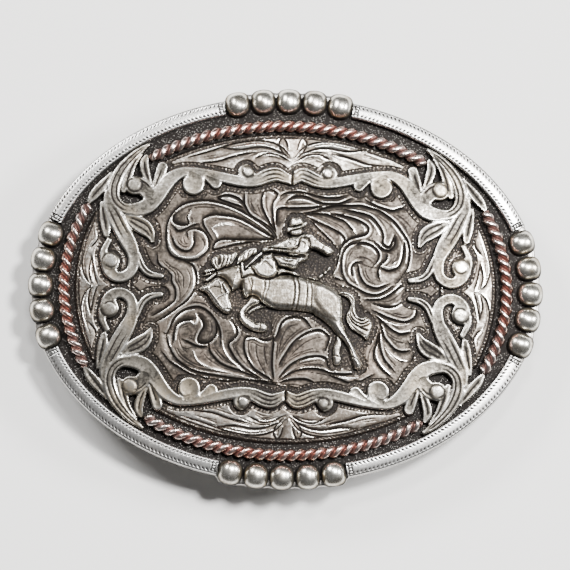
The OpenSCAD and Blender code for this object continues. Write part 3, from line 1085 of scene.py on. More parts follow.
@dataclass
class ScrollFrame:
    """The raised scroll frame, a casting for each corner, each the mirror of another but for its cusp.

    Fields: height over the face; how far in its rounded edges reach and how deep they drop; depth and
    half width of an engraved line; an eye's bulge, the cut of its groove and the share of its radius that
    the groove winds in; where the halves meet at the top and bottom; the chart's cell; how softly strokes
    run into each other; and how much fuller than their rows they are.
    """

    height: float = 1.7
    rounding: float = 0.55
    drop: float = 0.50
    depth: float = 0.14
    line: float = 0.10
    bulge: float = 0.08
    groove: float = 0.65
    winding: float = 0.30
    cusp_top: float = 0.9
    cusp_bottom: float = 0.4
    cell: float = 0.135
    blend: float = 0.3
    fuller: float = 0.1

    def strokes(self, cusp: float) -> list[Stroke]:
        """The corner's strokes, the first one from the cusp."""
        start = ((cusp, 19.85, 1.7), (1.2 + 0.6 * cusp, 20.5, 2.2), (2.3 + 0.3 * cusp, 21.0, 2.7))
        return [Stroke((*start, *BAND_TO_CORNER), (-0.55, 0.0, 0.55), (0.0, 0.24)), *STROKES]

    def outline(self, x: Array, y: Array, cusp: float) -> Array:
        """Signed distance from the corner's outline: the smooth union of its strokes, cut off at the cusp.

        Args:
            x: the points' x.
            y: the points' y.
            cusp: where the halves meet.
        Returns:
            The distances, negative inside.
        """
        total = np.full(x.shape, FAR)
        for stroke in self.strokes(cusp):
            line = smooth(stroke.rows)
            near = close_to(x, y, line)
            at = beside(x[near], y[near], line)
            total[near] = union(total[near], at.distance - at.width / 2 - self.fuller, self.blend)
        return np.maximum(total, np.maximum(cusp + DOME.gap - x, 0.2 - y))

    def face(self, x: Array, y: Array, cusp: float) -> tuple[Array, Array]:
        """Height over the plate's face and tone of the frame's top.

        The edge is a quarter round, the middle of each stroke is scooped by scoop * (1 - share^2), and the
        engraved lines are cuts exp(-(offset / line)^2). In an eye the groove's distance from the edge grows
        with winding * radius * turn^1.3, where turn is the share of a full turn from its start.

        Args:
            x: the points' x.
            y: the points' y.
            cusp: where the halves meet.
        Returns:
            Height and tone.
        """
        depth = -self.outline(x, y, cusp)
        best = np.full(x.shape, FAR)
        scoop, cut = np.zeros(x.shape), np.zeros(x.shape)
        for stroke in self.strokes(cusp):
            line = smooth(stroke.rows)
            near = close_to(x, y, line)
            at = beside(x[near], y[near], line)
            share = at.distance / np.maximum(at.width / 2, 0.2)
            edge = at.distance - at.width / 2
            own = edge < best[near]
            start, end = stroke.span
            window = ease(start, start + 0.12, at.run) * ease(end, end - 0.12, at.run)
            lines = np.zeros_like(edge)
            for engraved in stroke.lines:
                off = at.distance * at.side - engraved * at.width / 2
                lines = np.maximum(lines, np.exp(-((off / self.line) ** 2)) * window)
            scoop[near] = np.where(own, stroke.scoop * np.clip(1 - share**2, 0, 1), scoop[near])
            cut[near] = np.where(own, lines, cut[near])
            best[near] = np.where(own, edge, best[near])
        for eye_x, eye_y, radius, start in EYES:
            off = np.hypot(x - eye_x, y - eye_y) - radius
            inside = ease(0.1, -0.7, off)
            turn = np.mod(np.arctan2(y - eye_y, x - eye_x) - math.radians(start), 2 * np.pi) / (2 * np.pi)
            spiral = off + radius * self.winding * turn**1.3
            window = ease(0.0, 0.12, turn) * ease(1.0, 0.94, turn)
            groove = window * np.exp(-((spiral / (1.5 * self.line)) ** 2))
            cut = np.maximum(cut * (1 - inside), self.groove * groove)
            scoop = scoop * (1 - inside) - self.bulge * np.clip(1 - (off / radius + 1) ** 2, 0, 1)
        shoulder = np.clip(1 - depth / self.rounding, 0, 1)
        top = self.height - self.drop * (1 - np.sqrt(1 - shoulder**2)) - scoop - self.depth * cut
        # Painted highlight: the tone is raised in a band on the rounded edge, 0.26 mm in from the outline
        tone = 0.54 + 0.30 * np.exp(-(((depth - 0.26) / 0.17) ** 2)) - 0.9 * scoop - 0.60 * cut
        tone -= 0.55 * ease(0.14, 0.0, depth)
        return top, tone

    def build(self) -> None:
        """Makes the four castings, two from each chart."""
        material = ORNAMENT.material()
        for sy, cusp_right in ((1, self.cusp_top), (-1, self.cusp_bottom)):
            for sx in (1, -1):
                cusp = cusp_right * sx
                chart = Chart.over((min(cusp, 0) - 0.3, 0.0), (38.2, 26.6), self.cell)
                x, y, inside = chart.snapped(lambda px, py: self.outline(px, py, cusp))
                top, tone = self.face(x, y, cusp)
                upper, lower = DOME.face(x, y, top), DOME.face(x, y, DOME.gap)
                corner = next(name for name, signs in CORNERS.items() if signs == (sx, sy))
                flip = (slice(None), slice(None, None, -1)) if sx * sy < 0 else (slice(None), slice(None))
                fields = [values[flip] for values in (x * sx, y * sy, inside, upper, lower, tone)]
                casting = relief(f"scroll_{corner}_casting", *fields)
                place(casting, material, ORNAMENT.slot, f"scroll_{corner}")


# Where the plate's pieces meet below the scroll frame, from the top cusp to the right-hand middle
FRAME_LINE = (
    (0.9, 20.2), (3.7, 20.7), (5.5, 19.9), (7.6, 19.5), (10, 19.85), (12.3, 20.35), (15, 20.9),
    (17.5, 21.3), (19.5, 21.1), (21.5, 19.9), (23, 18.1), (24.3, 16.2), (25.8, 14.7), (27.6, 14.0),
    (29.6, 12.6), (30.6, 10.6), (29.2, 8.2), (28.2, 6.0), (28.05, 4.0), (28.3, 2.0))
# From the end of a side lobe's arc back to that line, and the same for the top lobe
SIDE_CORNER = ((33.4, 14.4), (31.2, 13.7))
TOP_CORNER = (22.9, 19.6)

# Trails of the lines that are cut into the plate: first the leaves' outlines on its centre, which are deep,
# quarter by quarter from the left-hand top
LEAF_EDGES = (
    (-7.9, 17.8, -7.9, 15.6, -7.5, 14.5, -6.5, 13.1, -3.1, 11.1, -1.8, 9.2),
    (-4.3, 17.9, -4.7, 16.3, -4.6, 14.8, -3.9, 13.2, -3, 11.7, -2.2, 10.5),
    (-4.3, 17.9, -3.2, 18.2, -2.2, 17.7, -1.8, 17, -2.6, 15.7, -2.7, 14.1, -2.4, 11.8, -2, 10.3),
    (-7.9, 17.8, -6.3, 18.2, -5, 18, -4.4, 17.3), (-1.9, 11.8, -1.9, 14.1, -1.4, 14.6, -0.1, 14.9),
    (-12.9, 16.6, -11, 17, -9, 16.4, -8, 15.4), (-12.9, 16.4, -11.5, 15.8, -8.3, 14.8),
    (-2, 9.1, -3.5, 10.8, -6, 12.6, -9, 14.3, -11.9, 15.4, -14.9, 15.9, -17.8, 15.6, -19.8, 14.7,
     -21.2, 13.3, -22, 11.5, -22.2, 9.3, -21.9, 7, -20.9, 5.5, -19.1, 4.8, -16.9, 4.8, -15.5, 5.5,
     -14.4, 6.7, -14.3, 8.3, -14.8, 9.6, -15.8, 10.4, -17.2, 10.6, -18.3, 10.1, -18.1, 8.9),
    (-2.3, 9, -6, 11.2, -8.9, 12.7, -11.9, 13.2, -13.9, 13.2, -15.3, 12.5, -15.4, 11.5, -14.7, 10.2,
     -13.8, 8.9),
    (-2, 8.8, -5.9, 8.7, -9.8, 8.7, -11.8, 8.7, -13.1, 8, -13.4, 6.8, -11.3, 7.3, -7.9, 8.1, -4.9, 8.2),
    (-17.9, 13.7, -18.4, 12.7, -18.1, 11.5, -19.5, 11.3, -20.8, 11.9, -20.9, 12.8, -20.4, 13.5),
    (-21.1, 9, -20.5, 7.5, -19.1, 6.5, -17.7, 6.6, -17, 7.9, -17.2, 9.6),
    (-20.9, 11, -20, 10.2, -18.7, 10.5, -17.3, 11.2, -16.4, 11.5),
    (-22.1, 7, -21.1, 5.6, -19.1, 4.8, -17.4, 4, -16.6, 2.7, -16.4, 1.2, -16.7, -0.7, -18, -2.7,
     -19.9, -4.2, -21.9, -5.7, -23.8, -6.8),
    (-23.7, 5.5, -23.5, 4.1, -22, 2.6, -21.1, 1.9, -21, 0.7, -20.3, -0.8, -20.4, -2.8, -22.2, -4.3,
     -24.3, -5.6),
    # Right-hand top
    (-1.2, 17, -0.2, 17.6, 1.8, 17.8, 3.7, 17.6, 5.3, 17.2, 7.3, 16.8, 9.3, 16.9, 10.6, 17.3),
    (-0.2, 15.8, 1, 16.8, 2.9, 17.1, 4.8, 16.4, 6.5, 15.8, 8, 15.7, 9.7, 15.8, 11.6, 16.7),
    (-0.1, 14.7, 2.5, 14.8, 5.1, 15, 6.3, 15.3),
    (2.8, 13.8, 4.9, 14.2, 7, 14.9, 9.3, 15.4, 11.5, 15.4, 13.5, 15.5, 15.2, 15.1, 16.8, 14.7, 18.4, 13.7,
     19.9, 12.5, 21.3, 10.7, 22.3, 9.1, 22.7, 7.5, 22.7, 5.8, 22.3, 3.9, 21.3, 2.3, 20.5, 1.3),
    (3.2, 13.8, 4.9, 13.8, 7.1, 13.7, 8.7, 13.2, 10.3, 12.6, 11.6, 11.5, 12.6, 10.3),
    (3.4, 13.2, 6.4, 11.9, 8.1, 11.2, 9.4, 10.5, 10.4, 9.7, 10.7, 9, 10.4, 8.1, 9.8, 7.5),
    (3.4, 13.3, 4.1, 12.8, 5.4, 11.4, 7.1, 9.8, 8.3, 8.5, 8.9, 7.7),
    (8.3, 13.9, 10, 13.6, 12, 13.1, 13.6, 12.5, 14.8, 11.7, 15.1, 10.9, 14.6, 10.1, 13.3, 9.7, 11.9, 9.3,
     10.7, 8.3, 9.9, 7.4),
    (10.6, 14.7, 12.9, 14.2, 15.2, 13.6, 16.7, 12.2, 17.5, 10.9, 17.8, 9.7, 17.8, 8.5, 18.8, 7.9, 19.3, 8.5,
     19.7, 9.7),
    (16.6, 8.5, 17.8, 7.5, 18.9, 7.2, 19.7, 7.9, 20, 9, 19.8, 10),
    (12.6, 9.4, 11.6, 9.1, 10.2, 7.8, 9.7, 6.1, 9.2, 4, 8.3, 2.3, 9.3, 1.8, 10.5, 1.5),
    (13.6, 8.6, 11.7, 8.1, 10.7, 6.9, 10.3, 5.6, 10.2, 4, 10.5, 2.4, 11.5, 0.9, 13, 0.1, 14.7, -0.8,
     16.5, -1.1, 18, -0.6, 19.5, 0.5),
    (12.9, 8.1, 14, 8.6, 15.5, 8.2, 16.6, 7.4, 17.1, 6.4, 16.9, 5.4, 16.4, 4.7),
    (12.2, 2.4, 12, 3.7, 12.6, 4.7, 13.4, 5),
    (13.2, 4.4, 13.5, 2.7, 14.3, 1.2, 15.5, 0.4, 17, 0.2, 18.6, 0.9),
    (18.6, 6.4, 18.4, 5.5, 17.4, 4.5, 16.9, 3.2, 17.2, 2),
    (17.5, 4, 18.6, 3.5, 19.8, 3.7, 20.8, 4.3, 21.4, 5.8, 21.6, 7.5, 21.7, 8.8),
    (14.7, 16.5, 16.2, 15.6, 17.7, 15.1, 19.4, 14.7, 20.7, 15.1, 21.7, 15.4),
    # Left-hand bottom
    (-2.1, -9.2, -2.6, -9.8, -3.6, -9.9, -4.4, -9.7, -5.2, -9.2, -6.1, -9.1, -7.1, -9.5, -7.4, -10.2,
     -7.4, -11.6, -7, -12.9, -6.1, -14.4, -5.2, -15.4, -2.1, -17.2),
    (-2.1, -9.2, -2, -10.1, -2.2, -12.5, -2.2, -14.8, -1.9, -16.9),
    (-10.9, -5.4, -9.7, -6.2, -8.9, -7.5, -8.7, -8.8, -9.2, -9.6, -10.3, -10.8, -9.6, -12.4, -8.6, -13.8,
     -7.1, -15.2, -4.3, -16.8),
    (-13.8, -10.9, -13.7, -12, -12.9, -13.1, -11.7, -14.2, -10.2, -14.9, -7.9, -15.6, -4.8, -16.8),
    (-21.7, -9, -21.5, -10.4, -20.8, -12.1, -19.8, -13.6, -18.2, -14.8, -16.4, -15.7, -14.3, -16.2,
     -11.6, -16.6, -8.6, -17, -4, -17.4, -1.5, -17.6),
    (-22.2, -12.6, -21.3, -13.8, -20.2, -14.6, -18.8, -15.4, -17.2, -16.3, -15.3, -16.8, -13.1, -17.3,
     -10.1, -17.5, -7.1, -17.5, -4, -17.7, -1.8, -17.9, -0.3, -18.5),
    (-21.7, -9, -21.1, -7.8, -20.6, -6.4, -19.7, -5.3, -18.4, -4.4, -16.8, -3.9, -15.5, -4, -14.1, -4.8,
     -13, -6, -12.2, -7.4, -11.8, -8.8, -11.7, -10.6),
    (-13.3, -5.5, -12.7, -6.7, -12.5, -8.2, -12.8, -9.4, -13.7, -10.3, -14.8, -10.6, -15.8, -10.3,
     -15.9, -9.6, -15.5, -8.6, -14.9, -7.5, -15.2, -6.4, -15.9, -5.5),
    (-17.1, -6.3, -18.4, -6.4, -19.7, -7.1, -20.3, -8.4, -20.5, -10.7),
    (-18.3, -10.1, -17.1, -10.7, -15.8, -11.2, -14.3, -11.2),
    # Right-hand bottom
    (-1.9, -9.8, -1.3, -8.6, -0.7, -6.8, 0.3, -5.8, 1.4, -5.4, 2.5, -5.4, 3.5, -5.8, 4.7, -7.2),
    (-0.9, -14.3, -0.6, -13.6, 0.4, -12, 1.3, -10.6, 2.6, -9.3, 4.2, -8.3, 5.8, -7.8, 6.8, -7.9, 7.8, -8.6,
     8.2, -9.2, 8, -10.2, 7.5, -11.5),
    (-0.9, -16.8, -0.5, -16.2, 1.1, -14.4, 2.7, -13.4, 4.3, -12.8, 5.9, -12.6, 7.3, -12.8, 7.9, -13.4,
     8.1, -14.4, 8.9, -15.1),
    (-0.3, -16.8, 1.1, -15.9, 2.7, -15.2, 5.2, -14.9, 6.8, -15.1, 8.3, -15.6, 9.9, -15.8, 11.6, -15.8,
     13.3, -15.6),
    (8.4, -16.1, 9.9, -16.6, 11.6, -17.3, 13.1, -17.4, 14.5, -16.9, 16.1, -15.9),
    (-0.5, -17.5, 0.8, -17.1, 2.4, -16.9, 4, -16.9, 5.4, -17.4),
    (14.8, -2, 17.1, -1.9, 18.7, -1.3, 20.2, -0.2, 21.6, 1, 22.1, 0.7, 22, -1, 21.5, -2.1, 20.4, -3,
     19, -3.3, 17.6, -3.1, 16.2, -2.7),
    (16.5, -4.1, 18.5, -5.1, 20.5, -5.7, 22.1, -5.9, 23.5, -5.3, 24.1, -4.4, 24, -3.2, 23.3, -2.2,
     22.7, -1.7),
    (16.9, -5.1, 18.9, -6.9, 20.5, -7.9, 21.3, -8.2, 22.9, -7.9),
    (17.4, -6.1, 17.9, -7.4, 18.2, -8.7, 19.2, -10, 20.4, -11.1, 21.7, -11.4, 23, -11.2),
    (17.4, -7.7, 17.4, -9.7, 17.7, -11.3, 18.3, -12.9, 19.2, -14, 20, -14.8),
    (17.1, -8.4, 16.9, -10, 16.5, -11.3, 16.5, -12.7, 17.2, -13.9, 18.2, -15, 19.5, -16),
    (23, -9.9, 23.9, -11.5, 23.2, -13.6),
)
# Fine lines inside the leaves
LEAF_VEINS = (
    (-6.7, 16, -6.6, 15, -6, 13.7), (-4, 17.1, -3.9, 15.6, -3.4, 13.2), (-2, 15.4, -1.2, 16.3, -0.2, 16.9),
    (-5.5, 16.2, -5.3, 14.7, -4.6, 13.2, -3.2, 11.4),
    (-3.4, 10.2, -6, 11.9, -9, 13.6, -11.9, 14.7, -14.9, 15.2, -17.8, 14.9, -19.7, 14),
    (-12.4, 11.4, -10.7, 11.6, -8.9, 11.2, -6.9, 10.6, -4.5, 9.4, -3, 8.9),
    (-13.3, 12.2, -10.9, 12.4, -8.4, 11.7, -5.5, 10.4), (-11.8, 8.1, -8.9, 8.4, -4.9, 8.5),
    (-16.2, 9.4, -15.2, 8.2, -15.3, 6.9, -16.7, 5.7), (-19, 9, -18.7, 7.9, -17.9, 7.7),
    (-18.2, 3.1, -17.5, 1.3, -18, -0.8, -19.3, -2.6, -21.4, -4.5),
    (-22.3, 3.8, -20.1, 3, -18.9, 1.5, -18.9, -0.7), (3.8, 17.1, 6.2, 16.3, 8.7, 16.3),
    (4.9, 13.6, 7.8, 12.6, 10.2, 11.3, 11.2, 9.9),
    (5.4, 13.9, 8.7, 14.6, 11.9, 14.9, 14.9, 14.4, 17.5, 13.2, 19.6, 11.4, 21.2, 8.9, 21.9, 6.6),
    (9.7, 13.9, 12.5, 13.6, 15, 12.7, 16.2, 11.2, 16.6, 10), (6, 12.7, 8, 11.8, 9.7, 10.7),
    (5.2, 12.3, 7, 10.5, 8.7, 9.1), (12.6, 5.6, 13.7, 5.9, 15.1, 5.5, 16.2, 4.6),
    (13.6, 5.1, 14.4, 4.4, 15.4, 4.1, 16.5, 3.9), (11.1, 6.4, 10.8, 4.6, 11.2, 2.7, 12.4, 1.2, 14.1, 0.2),
    (19.2, 4.7, 20.3, 5.6, 20.6, 7.3), (14.6, 9.1, 16, 8.9, 16.9, 7.9, 18.3, 7),
    (19.4, 14.2, 20.9, 13.5, 22.2, 12.4, 23.2, 11.1), (20.9, 12.8, 21.9, 11.4, 22.3, 10.1),
    (-6.1, -10.2, -5.3, -10.1, -5.2, -11.8, -4.9, -13.3, -4.1, -14.9, -3.2, -16.4),
    (-3.8, -10.7, -3.6, -12.7, -3.1, -14.7), (-6.7, -11, -6.4, -12.8, -5.5, -14.4),
    (-9.6, -5.7, -8.8, -6.9, -8.1, -8.1, -7.7, -9.3), (-9.2, -10.7, -8.4, -12.7, -6.7, -14.7),
    (-14.8, -12.5, -14, -13.4, -12.8, -14.2, -11.1, -15, -8.4, -15.7),
    (-20.4, -13, -18.8, -14.2, -16.7, -15.1, -13.7, -15.7, -10.2, -16.1, -6, -16.6),
    (-19.4, -9.7, -18.9, -11.3, -17.7, -12.5), (-13.7, -6.5, -13.4, -8, -14, -9.4),
    (-18.8, -11.3, -17.9, -11.7, -16.8, -11.1), (-12, -12.3, -10.6, -13.8, -8.6, -14.8),
    (-1.2, -10.9, -0.7, -9.8, 0.3, -7.8, 1.5, -7, 2.7, -6.9), (-0.5, -11.6, 0.7, -9.5, 2.3, -8.2),
    (0.4, -13.6, 1.9, -11.8, 3.6, -10.3, 5.3, -9.4, 6.5, -9.2), (2.1, -12.7, 3.9, -11.7, 5.5, -11.2),
    (0.5, -16.2, 1.9, -15.2, 3.5, -14.6, 5.1, -14.4, 6.8, -14.6), (2, -14.5, 3.8, -13.8, 5.9, -13.4),
    (4.8, -15.6, 7.7, -15.9, 9.9, -16.3, 12.3, -16.6), (-0.2, -17.9, 2, -17.9, 4.4, -18.5),
    (16.9, -2.4, 19.1, -2.1, 20.7, -1.1, 21.5, -0.1), (17.9, -5.4, 20.5, -6.3, 22.9, -6.3),
    (17.9, -6.7, 18.6, -7.7, 19.9, -8.7, 21.1, -9.1), (18.9, -8.4, 20.4, -9.5, 22.4, -9.9),
    (18.2, -9, 18.6, -10.7, 19.7, -12.1, 21.2, -13.2, 22.2, -13.3),
    (16.6, -10, 15.8, -11.2, 15.4, -12.5, 15.3, -13.8, 15.6, -15.1), (18.3, -11, 19, -12.5, 20.5, -14.1),
    (21.9, -14.5, 22.1, -15.8),
)
# Glints: broad, slightly raised lines whose bright tone is a painted highlight
LEAF_GLINTS = (
    (-7.4, 17.3, -6.3, 17.7, -5, 17.6), (-3.7, 17.6, -3, 17.7, -2.4, 17.2),
    (-13.8, 10.7, -12.4, 11.4, -10.7, 11.6, -8.9, 11.2), (-13.7, 10.6, -13.1, 9.9, -12.7, 8.9),
    (-12.2, 16.5, -10.6, 16.5, -9, 15.8), (-17.9, 13.7, -18.4, 12.7, -18, 11.7),
    (-21.8, 10.1, -21.6, 7.9, -20.6, 6.2, -19, 5.3, -17.1, 5.3, -15.6, 6.1, -14.9, 7.3),
    (-17.3, 3.7, -16.8, 1.3, -17.1, -0.7, -18.4, -2.6, -20.2, -4.1),
    (0.2, 16, 1.8, 16.4, 3.8, 16.2, 5.7, 15.5), (0.1, 17.3, 2, 17.5, 4, 17.3),
    (10.6, 12.3, 12, 11.3, 12.8, 9.9), (9.7, 10.1, 10.3, 9.2, 10.1, 8.3),
    (15.2, 13, 16.6, 11.6, 17.2, 10.1), (19.2, 12.6, 20.7, 10.9, 21.9, 9, 22.3, 7.2, 22.1, 5),
    (12.4, 4, 12.6, 2.3, 13.5, 0.5), (13.9, 8.1, 15.6, 7.7, 16.6, 6.5), (18.1, 4.2, 19.5, 4.3, 20.5, 5.3),
    (13.7, 12.1, 14.5, 11.4, 14.3, 10.5), (-6.8, -9.8, -6.1, -9.6, -5.4, -9.6),
    (-11.4, -10.2, -11.1, -11.6, -10.3, -13, -9.1, -14.1, -7.7, -15, -6.2, -15.8, -4.3, -16.8),
    (-16.7, -12, -16.3, -13.2, -15.6, -14.1, -14, -15, -11.9, -15.6, -9.9, -16.1, -7.1, -16.5),
    (-16.4, -5.2, -16.1, -6.3, -16.6, -7.1, -17.5, -6.6, -18.7, -7, -19.6, -7.8, -20, -8.9, -20, -10.1),
    (-20.7, -7.4, -19.6, -5.8, -18.2, -4.8, -16.7, -4.4), (-10.4, -6, -9.4, -7.4, -9.1, -8.7),
    (-0.7, -7.6, 0.3, -6.4, 1.6, -5.9, 2.8, -6), (2.7, -9.6, 4.4, -8.7, 6, -8.2, 7.2, -8.6),
    (3, -13.7, 4.7, -13.1, 6.5, -12.9, 7.4, -13.4), (10.1, -16.2, 11.9, -16.5, 13.6, -16.4),
    (16.8, -4.5, 18, -5.6, 19.6, -6.2, 21.4, -6.4, 22.9, -6.2), (19.6, -7.3, 21.3, -7.8, 22.9, -7.5),
    (20.4, -0.7, 21.4, 0.3, 21.9, 0.5), (18.5, -10.7, 19.7, -12.1, 21.2, -12.9, 22.6, -13.1),
    (16.9, -12, 17.4, -13.4, 18.4, -14.7, 19.5, -15.6), (19.3, -2.9, 20.8, -2.6, 21.7, -1.5),
)
# Cuts on the left half of the top lobe. They are mirrored on its right half, and both on the bottom lobe
TOP_LOBE_CUTS = (
    (-18.5, 24, -15, 25, -10, 26.7, -6, 27.3, -3, 27, -1, 26, 0.3, 24.5),
    (-12, 25.9, -9, 25.6, -5.5, 26.1, -3, 25.8, -0.5, 24.8), (-6, 24, -4, 24.9, -2, 24.7, 0, 23.7),
    (-16.5, 22.9, -13, 23.3, -9.5, 24.4, -6.2, 25.1),
    (0.0, 24.2, -1.3, 25.6, -1.7, 27.0, -1.0, 28.0, -0.4, 27.2, 0.0, 25.8),
)
TOP_LOBE_VEINS = (
    (-14, 25.2, -10, 26.2, -6, 26.9, -3, 26.5, -1, 25.6), (-12, 23.8, -9, 24.6, -6.2, 25.5),
    (-8, 24.1, -5, 25.2, -2, 25.3), (-4.4, 24.4, -2.4, 24.3, -0.8, 23.8), (-11.5, 26.4, -8.4, 27.0),
    (-1.0, 27.3, -0.8, 26.0), (-15.5, 24.1, -13.2, 24.5),
)
# Glints of the top lobe: slightly raised lines painted bright as painted highlights
TOP_LOBE_GLINTS = (
    (-9.5, 26.0, -6, 26.6, -3.2, 26.3), (-5.2, 24.6, -3, 24.8, -1.4, 24.4),
)
# Cuts on the left lobe above its middle; they are mirrored below, and on the right lobe
LEFT_LOBE_CUTS = (
    (-35.9, 0.3, -37, 1.6, -37.6, 3.7, -37.4, 6, -36.8, 8.5, -36.0, 11, -35.3, 12.8),
    (-35.8, 5.2, -35.3, 2.2, -34.7, 0.3), (-35.8, 5.2, -36.3, 2.8, -35.9, 0.6),
    (-36.0, 7.0, -34.9, 8.4, -34.7, 10.4, -35.2, 12.2),
)
LEFT_LOBE_VEINS = (
    (-36.8, 1.5, -37.2, 4.5, -36.5, 7.2, -35.8, 9), (-38.0, 1.0, -38.2, 3.2), (-35.9, 3.6, -35.6, 1.6),
    (-36.6, 9.4, -35.9, 11.4),
)
# The sunk ground under the free arm
SUNK = ((4.91, 7.65), (2.23, 4.36), (1.87, 2.29), (4.23, 2.14), (8.26, 2.31), (9.1, 4.69), (8.38, 6.15))


class Part(Enum):
    """The pieces that the engraved plate is made in."""

    CENTRE_LEFT = "centre_left"
    CENTRE_RIGHT = "centre_right"
    TOP = "top"
    RIGHT = "right"
    BOTTOM = "bottom"
    LEFT = "left"


CENTRE = (Part.CENTRE_LEFT, Part.CENTRE_RIGHT)


@dataclass
class EngravedPlate:
    """The engraved inner plate: leaves cut into it, and a grained ground beside the casting and the frame.

    Fields: its height; depth and half width of the deep and the fine cuts; how far off the painted
    highlight line on a deep cut's left and the fine cuts that echo it are; depth and half width of the
    slope on its right, which is also painted darker as shade; rise and half width of a glint, a raised line
    that is also painted bright as a highlight; how far the ground is sunk; rise of its grains and of the
    punched dots;
    pitch and half width of the dots; the squares that hold a grain each; the ovals that the lobes end at
    and how far along them the lobes reach; how far the mirrored cuts of the top lobe are shifted; and the
    chart's cell.
    """

    height: float = 0.8
    deep: float = 0.20
    deep_line: float = 0.125
    fine: float = 0.09
    fine_line: float = 0.085
    lip_highlight: float = 0.32
    echoes: tuple[float, ...] = (0.78, 1.2)
    shoulder: float = 0.16
    shoulder_width: float = 0.55
    glint: float = 0.07
    glint_line: float = 0.24
    sink: float = 0.22
    grain: float = 0.08
    dot: float = 0.1
    dot_pitch: float = 0.62
    dot_size: float = 0.13
    square: float = 0.44
    side_lobe: Oval = Oval(38.9, 33.3)
    side_reach: float = 14.0
    top_lobe: Oval = Oval(39.3, 28.75)
    top_reach: float = 24.2
    shift: float = 1.7
    cell: float = 0.117

    def outline(self, part: Part) -> Array:
        """The outline of a piece, from stretches of the frame line and the lobes' arcs and their mirrors.

        Args:
            part: which piece.
        Returns:
            Rows of x and y, counter-clockwise, the last the same as the first.
        """
        frame = np.array(FRAME_LINE)
        if part in CENTRE:
            half = np.vstack([[(0.0, 20.2)], frame, frame[::-1] * (1, -1), [(0.0, -20.2)]])
            return self.closed(half[::-1] if part is Part.CENTRE_RIGHT else half * (-1, 1))
        if part in (Part.TOP, Part.BOTTOM):
            x = np.linspace(self.top_reach, -self.top_reach, 70)
            arc = np.stack([x, self.top_lobe.b * np.sqrt(1 - (x / self.top_lobe.a) ** 2)], axis=1)
            under = np.vstack([frame[frame[:, 0] < 20.0], TOP_CORNER])
            loop = np.vstack([arc, under[::-1] * (-1, 1), under])
            return self.closed(loop if part is Part.TOP else (loop * (1, -1))[::-1])
        y = np.linspace(-self.side_reach, self.side_reach, 50)
        arc = np.stack([self.side_lobe.a * np.sqrt(1 - (y / self.side_lobe.b) ** 2), y], axis=1)
        behind = np.vstack([SIDE_CORNER, frame[frame[:, 1] < 13.0]])
        loop = np.vstack([arc, behind, behind[::-1] * (1, -1)])
        return self.closed(loop if part is Part.RIGHT else (loop * (-1, 1))[::-1])

    @staticmethod
    def closed(loop: Array) -> Array:
        """The loop with its first point again at its end."""
        return np.vstack([loop, loop[:1]])

    @staticmethod
    def nearest(x: Array, y: Array, lines: Sequence[Rows], taper: float) -> tuple[Array, Array, Array]:
        """The nearest of some lines.

        Args:
            x: the points' x.
            y: the points' y.
            lines: the lines' rows.
            taper: share of a line's length over which it swells from a third to the whole of its width.
        Returns:
            Distance to it, positive to its left, the share of its run, and how swollen it is there.
        """
        best = np.full(x.shape, FAR)
        run = np.zeros(x.shape)
        for rows in lines:
            line = smooth(rows)
            near = close_to(x, y, line)
            if near.any():
                at = beside(x[near], y[near], line)
                closer = at.distance < np.abs(best[near])
                best[near] = np.where(closer, at.distance * at.side, best[near])
                run[near] = np.where(closer, at.run, run[near])
        return best, run, 0.35 + 0.65 * ease(0.0, taper, np.minimum(run, 1 - run))

    def cuts(self, x: Array, y: Array, lines: Sequence[Rows], width: float) -> Array:
        """How deep some lines are cut: exp(-(distance / (width * swell))^2) beside the nearest one."""
        off, _, swell = self.nearest(x, y, lines, 0.35)
        return np.exp(-((off / (width * swell)) ** 2))

    def lines(self, part: Part) -> list[list[Array]]:
        """The cuts on a piece, with their mirrors.

        Args:
            part: which piece.
        Returns:
            The deep cuts, the fine cuts and the glints, which are painted highlights, each line as rows of
            x and y.
        """
        if part in CENTRE:
            return [[pairs(trail) for trail in trails] for trails in (LEAF_EDGES, LEAF_VEINS, LEAF_GLINTS)]
        if part in (Part.TOP, Part.BOTTOM):
            sets = (TOP_LOBE_CUTS, TOP_LOBE_VEINS, TOP_LOBE_GLINTS)
            mirror, shift = (-1, 1), (self.shift, 0.0)
        else:
            sets = (LEFT_LOBE_CUTS, LEFT_LOBE_VEINS, ())
            mirror, shift = (1, -1), (0.0, 0.0)
        turn = {Part.BOTTOM: (1, -1), Part.RIGHT: (-1, 1)}.get(part, (1, 1))
        both = []
        for trails in sets:
            own = [pairs(trail) for trail in trails]
            other = [rows * mirror + shift for rows in own]
            both.append([rows * turn for rows in own + other])
        return both

    def face(self, x: Array, y: Array, part: Part, rim: Array) -> tuple[Array, Array]:
        """Height and tone of a piece's face.

        Height is the plate's, less the deep and fine cuts and the slopes beside the deep ones, plus the
        glints. Where there is no leaf the ground is sunk and covered in small raised grains. The tone
        paints
        light: a highlight line left of each deep cut, shade on the slope at its right, bright glints, and
        brighter leaves on the lobes.

        Args:
            x: the points' x.
            y: the points' y.
            part: which piece.
            rim: signed distance from the piece's outline.
        Returns:
            Height and tone.
        """
        edges, veins, glints = self.lines(part)
        off, run, swell = self.nearest(x, y, edges, 0.12)
        swell = swell if part in CENTRE else 0.8 * swell
        deep = np.exp(-((off / (self.deep_line * swell)) ** 2))
        # The slope right of each deep cut is cut into the height, and is also painted darker in the tone as
        # painted shade
        slope = np.exp(-((off / self.shoulder_width) ** 2)) * (off < 0) * (1.0 if part in CENTRE else 0.5)
        # Painted highlight: a bright line in the tone just left of each deep cut, with no shape under it
        lip_highlight = np.exp(-(((off - self.lip_highlight) / 0.12) ** 2)) * swell
        fine = self.cuts(x, y, veins, self.fine_line)
        for number, echo in enumerate(self.echoes):
            window = ease(0.06, 0.2, run) * ease(0.8 - 0.2 * number, 0.5 - 0.15 * number, run)
            fine = np.maximum(fine, window * np.exp(-(((off - echo) / self.fine_line) ** 2)))
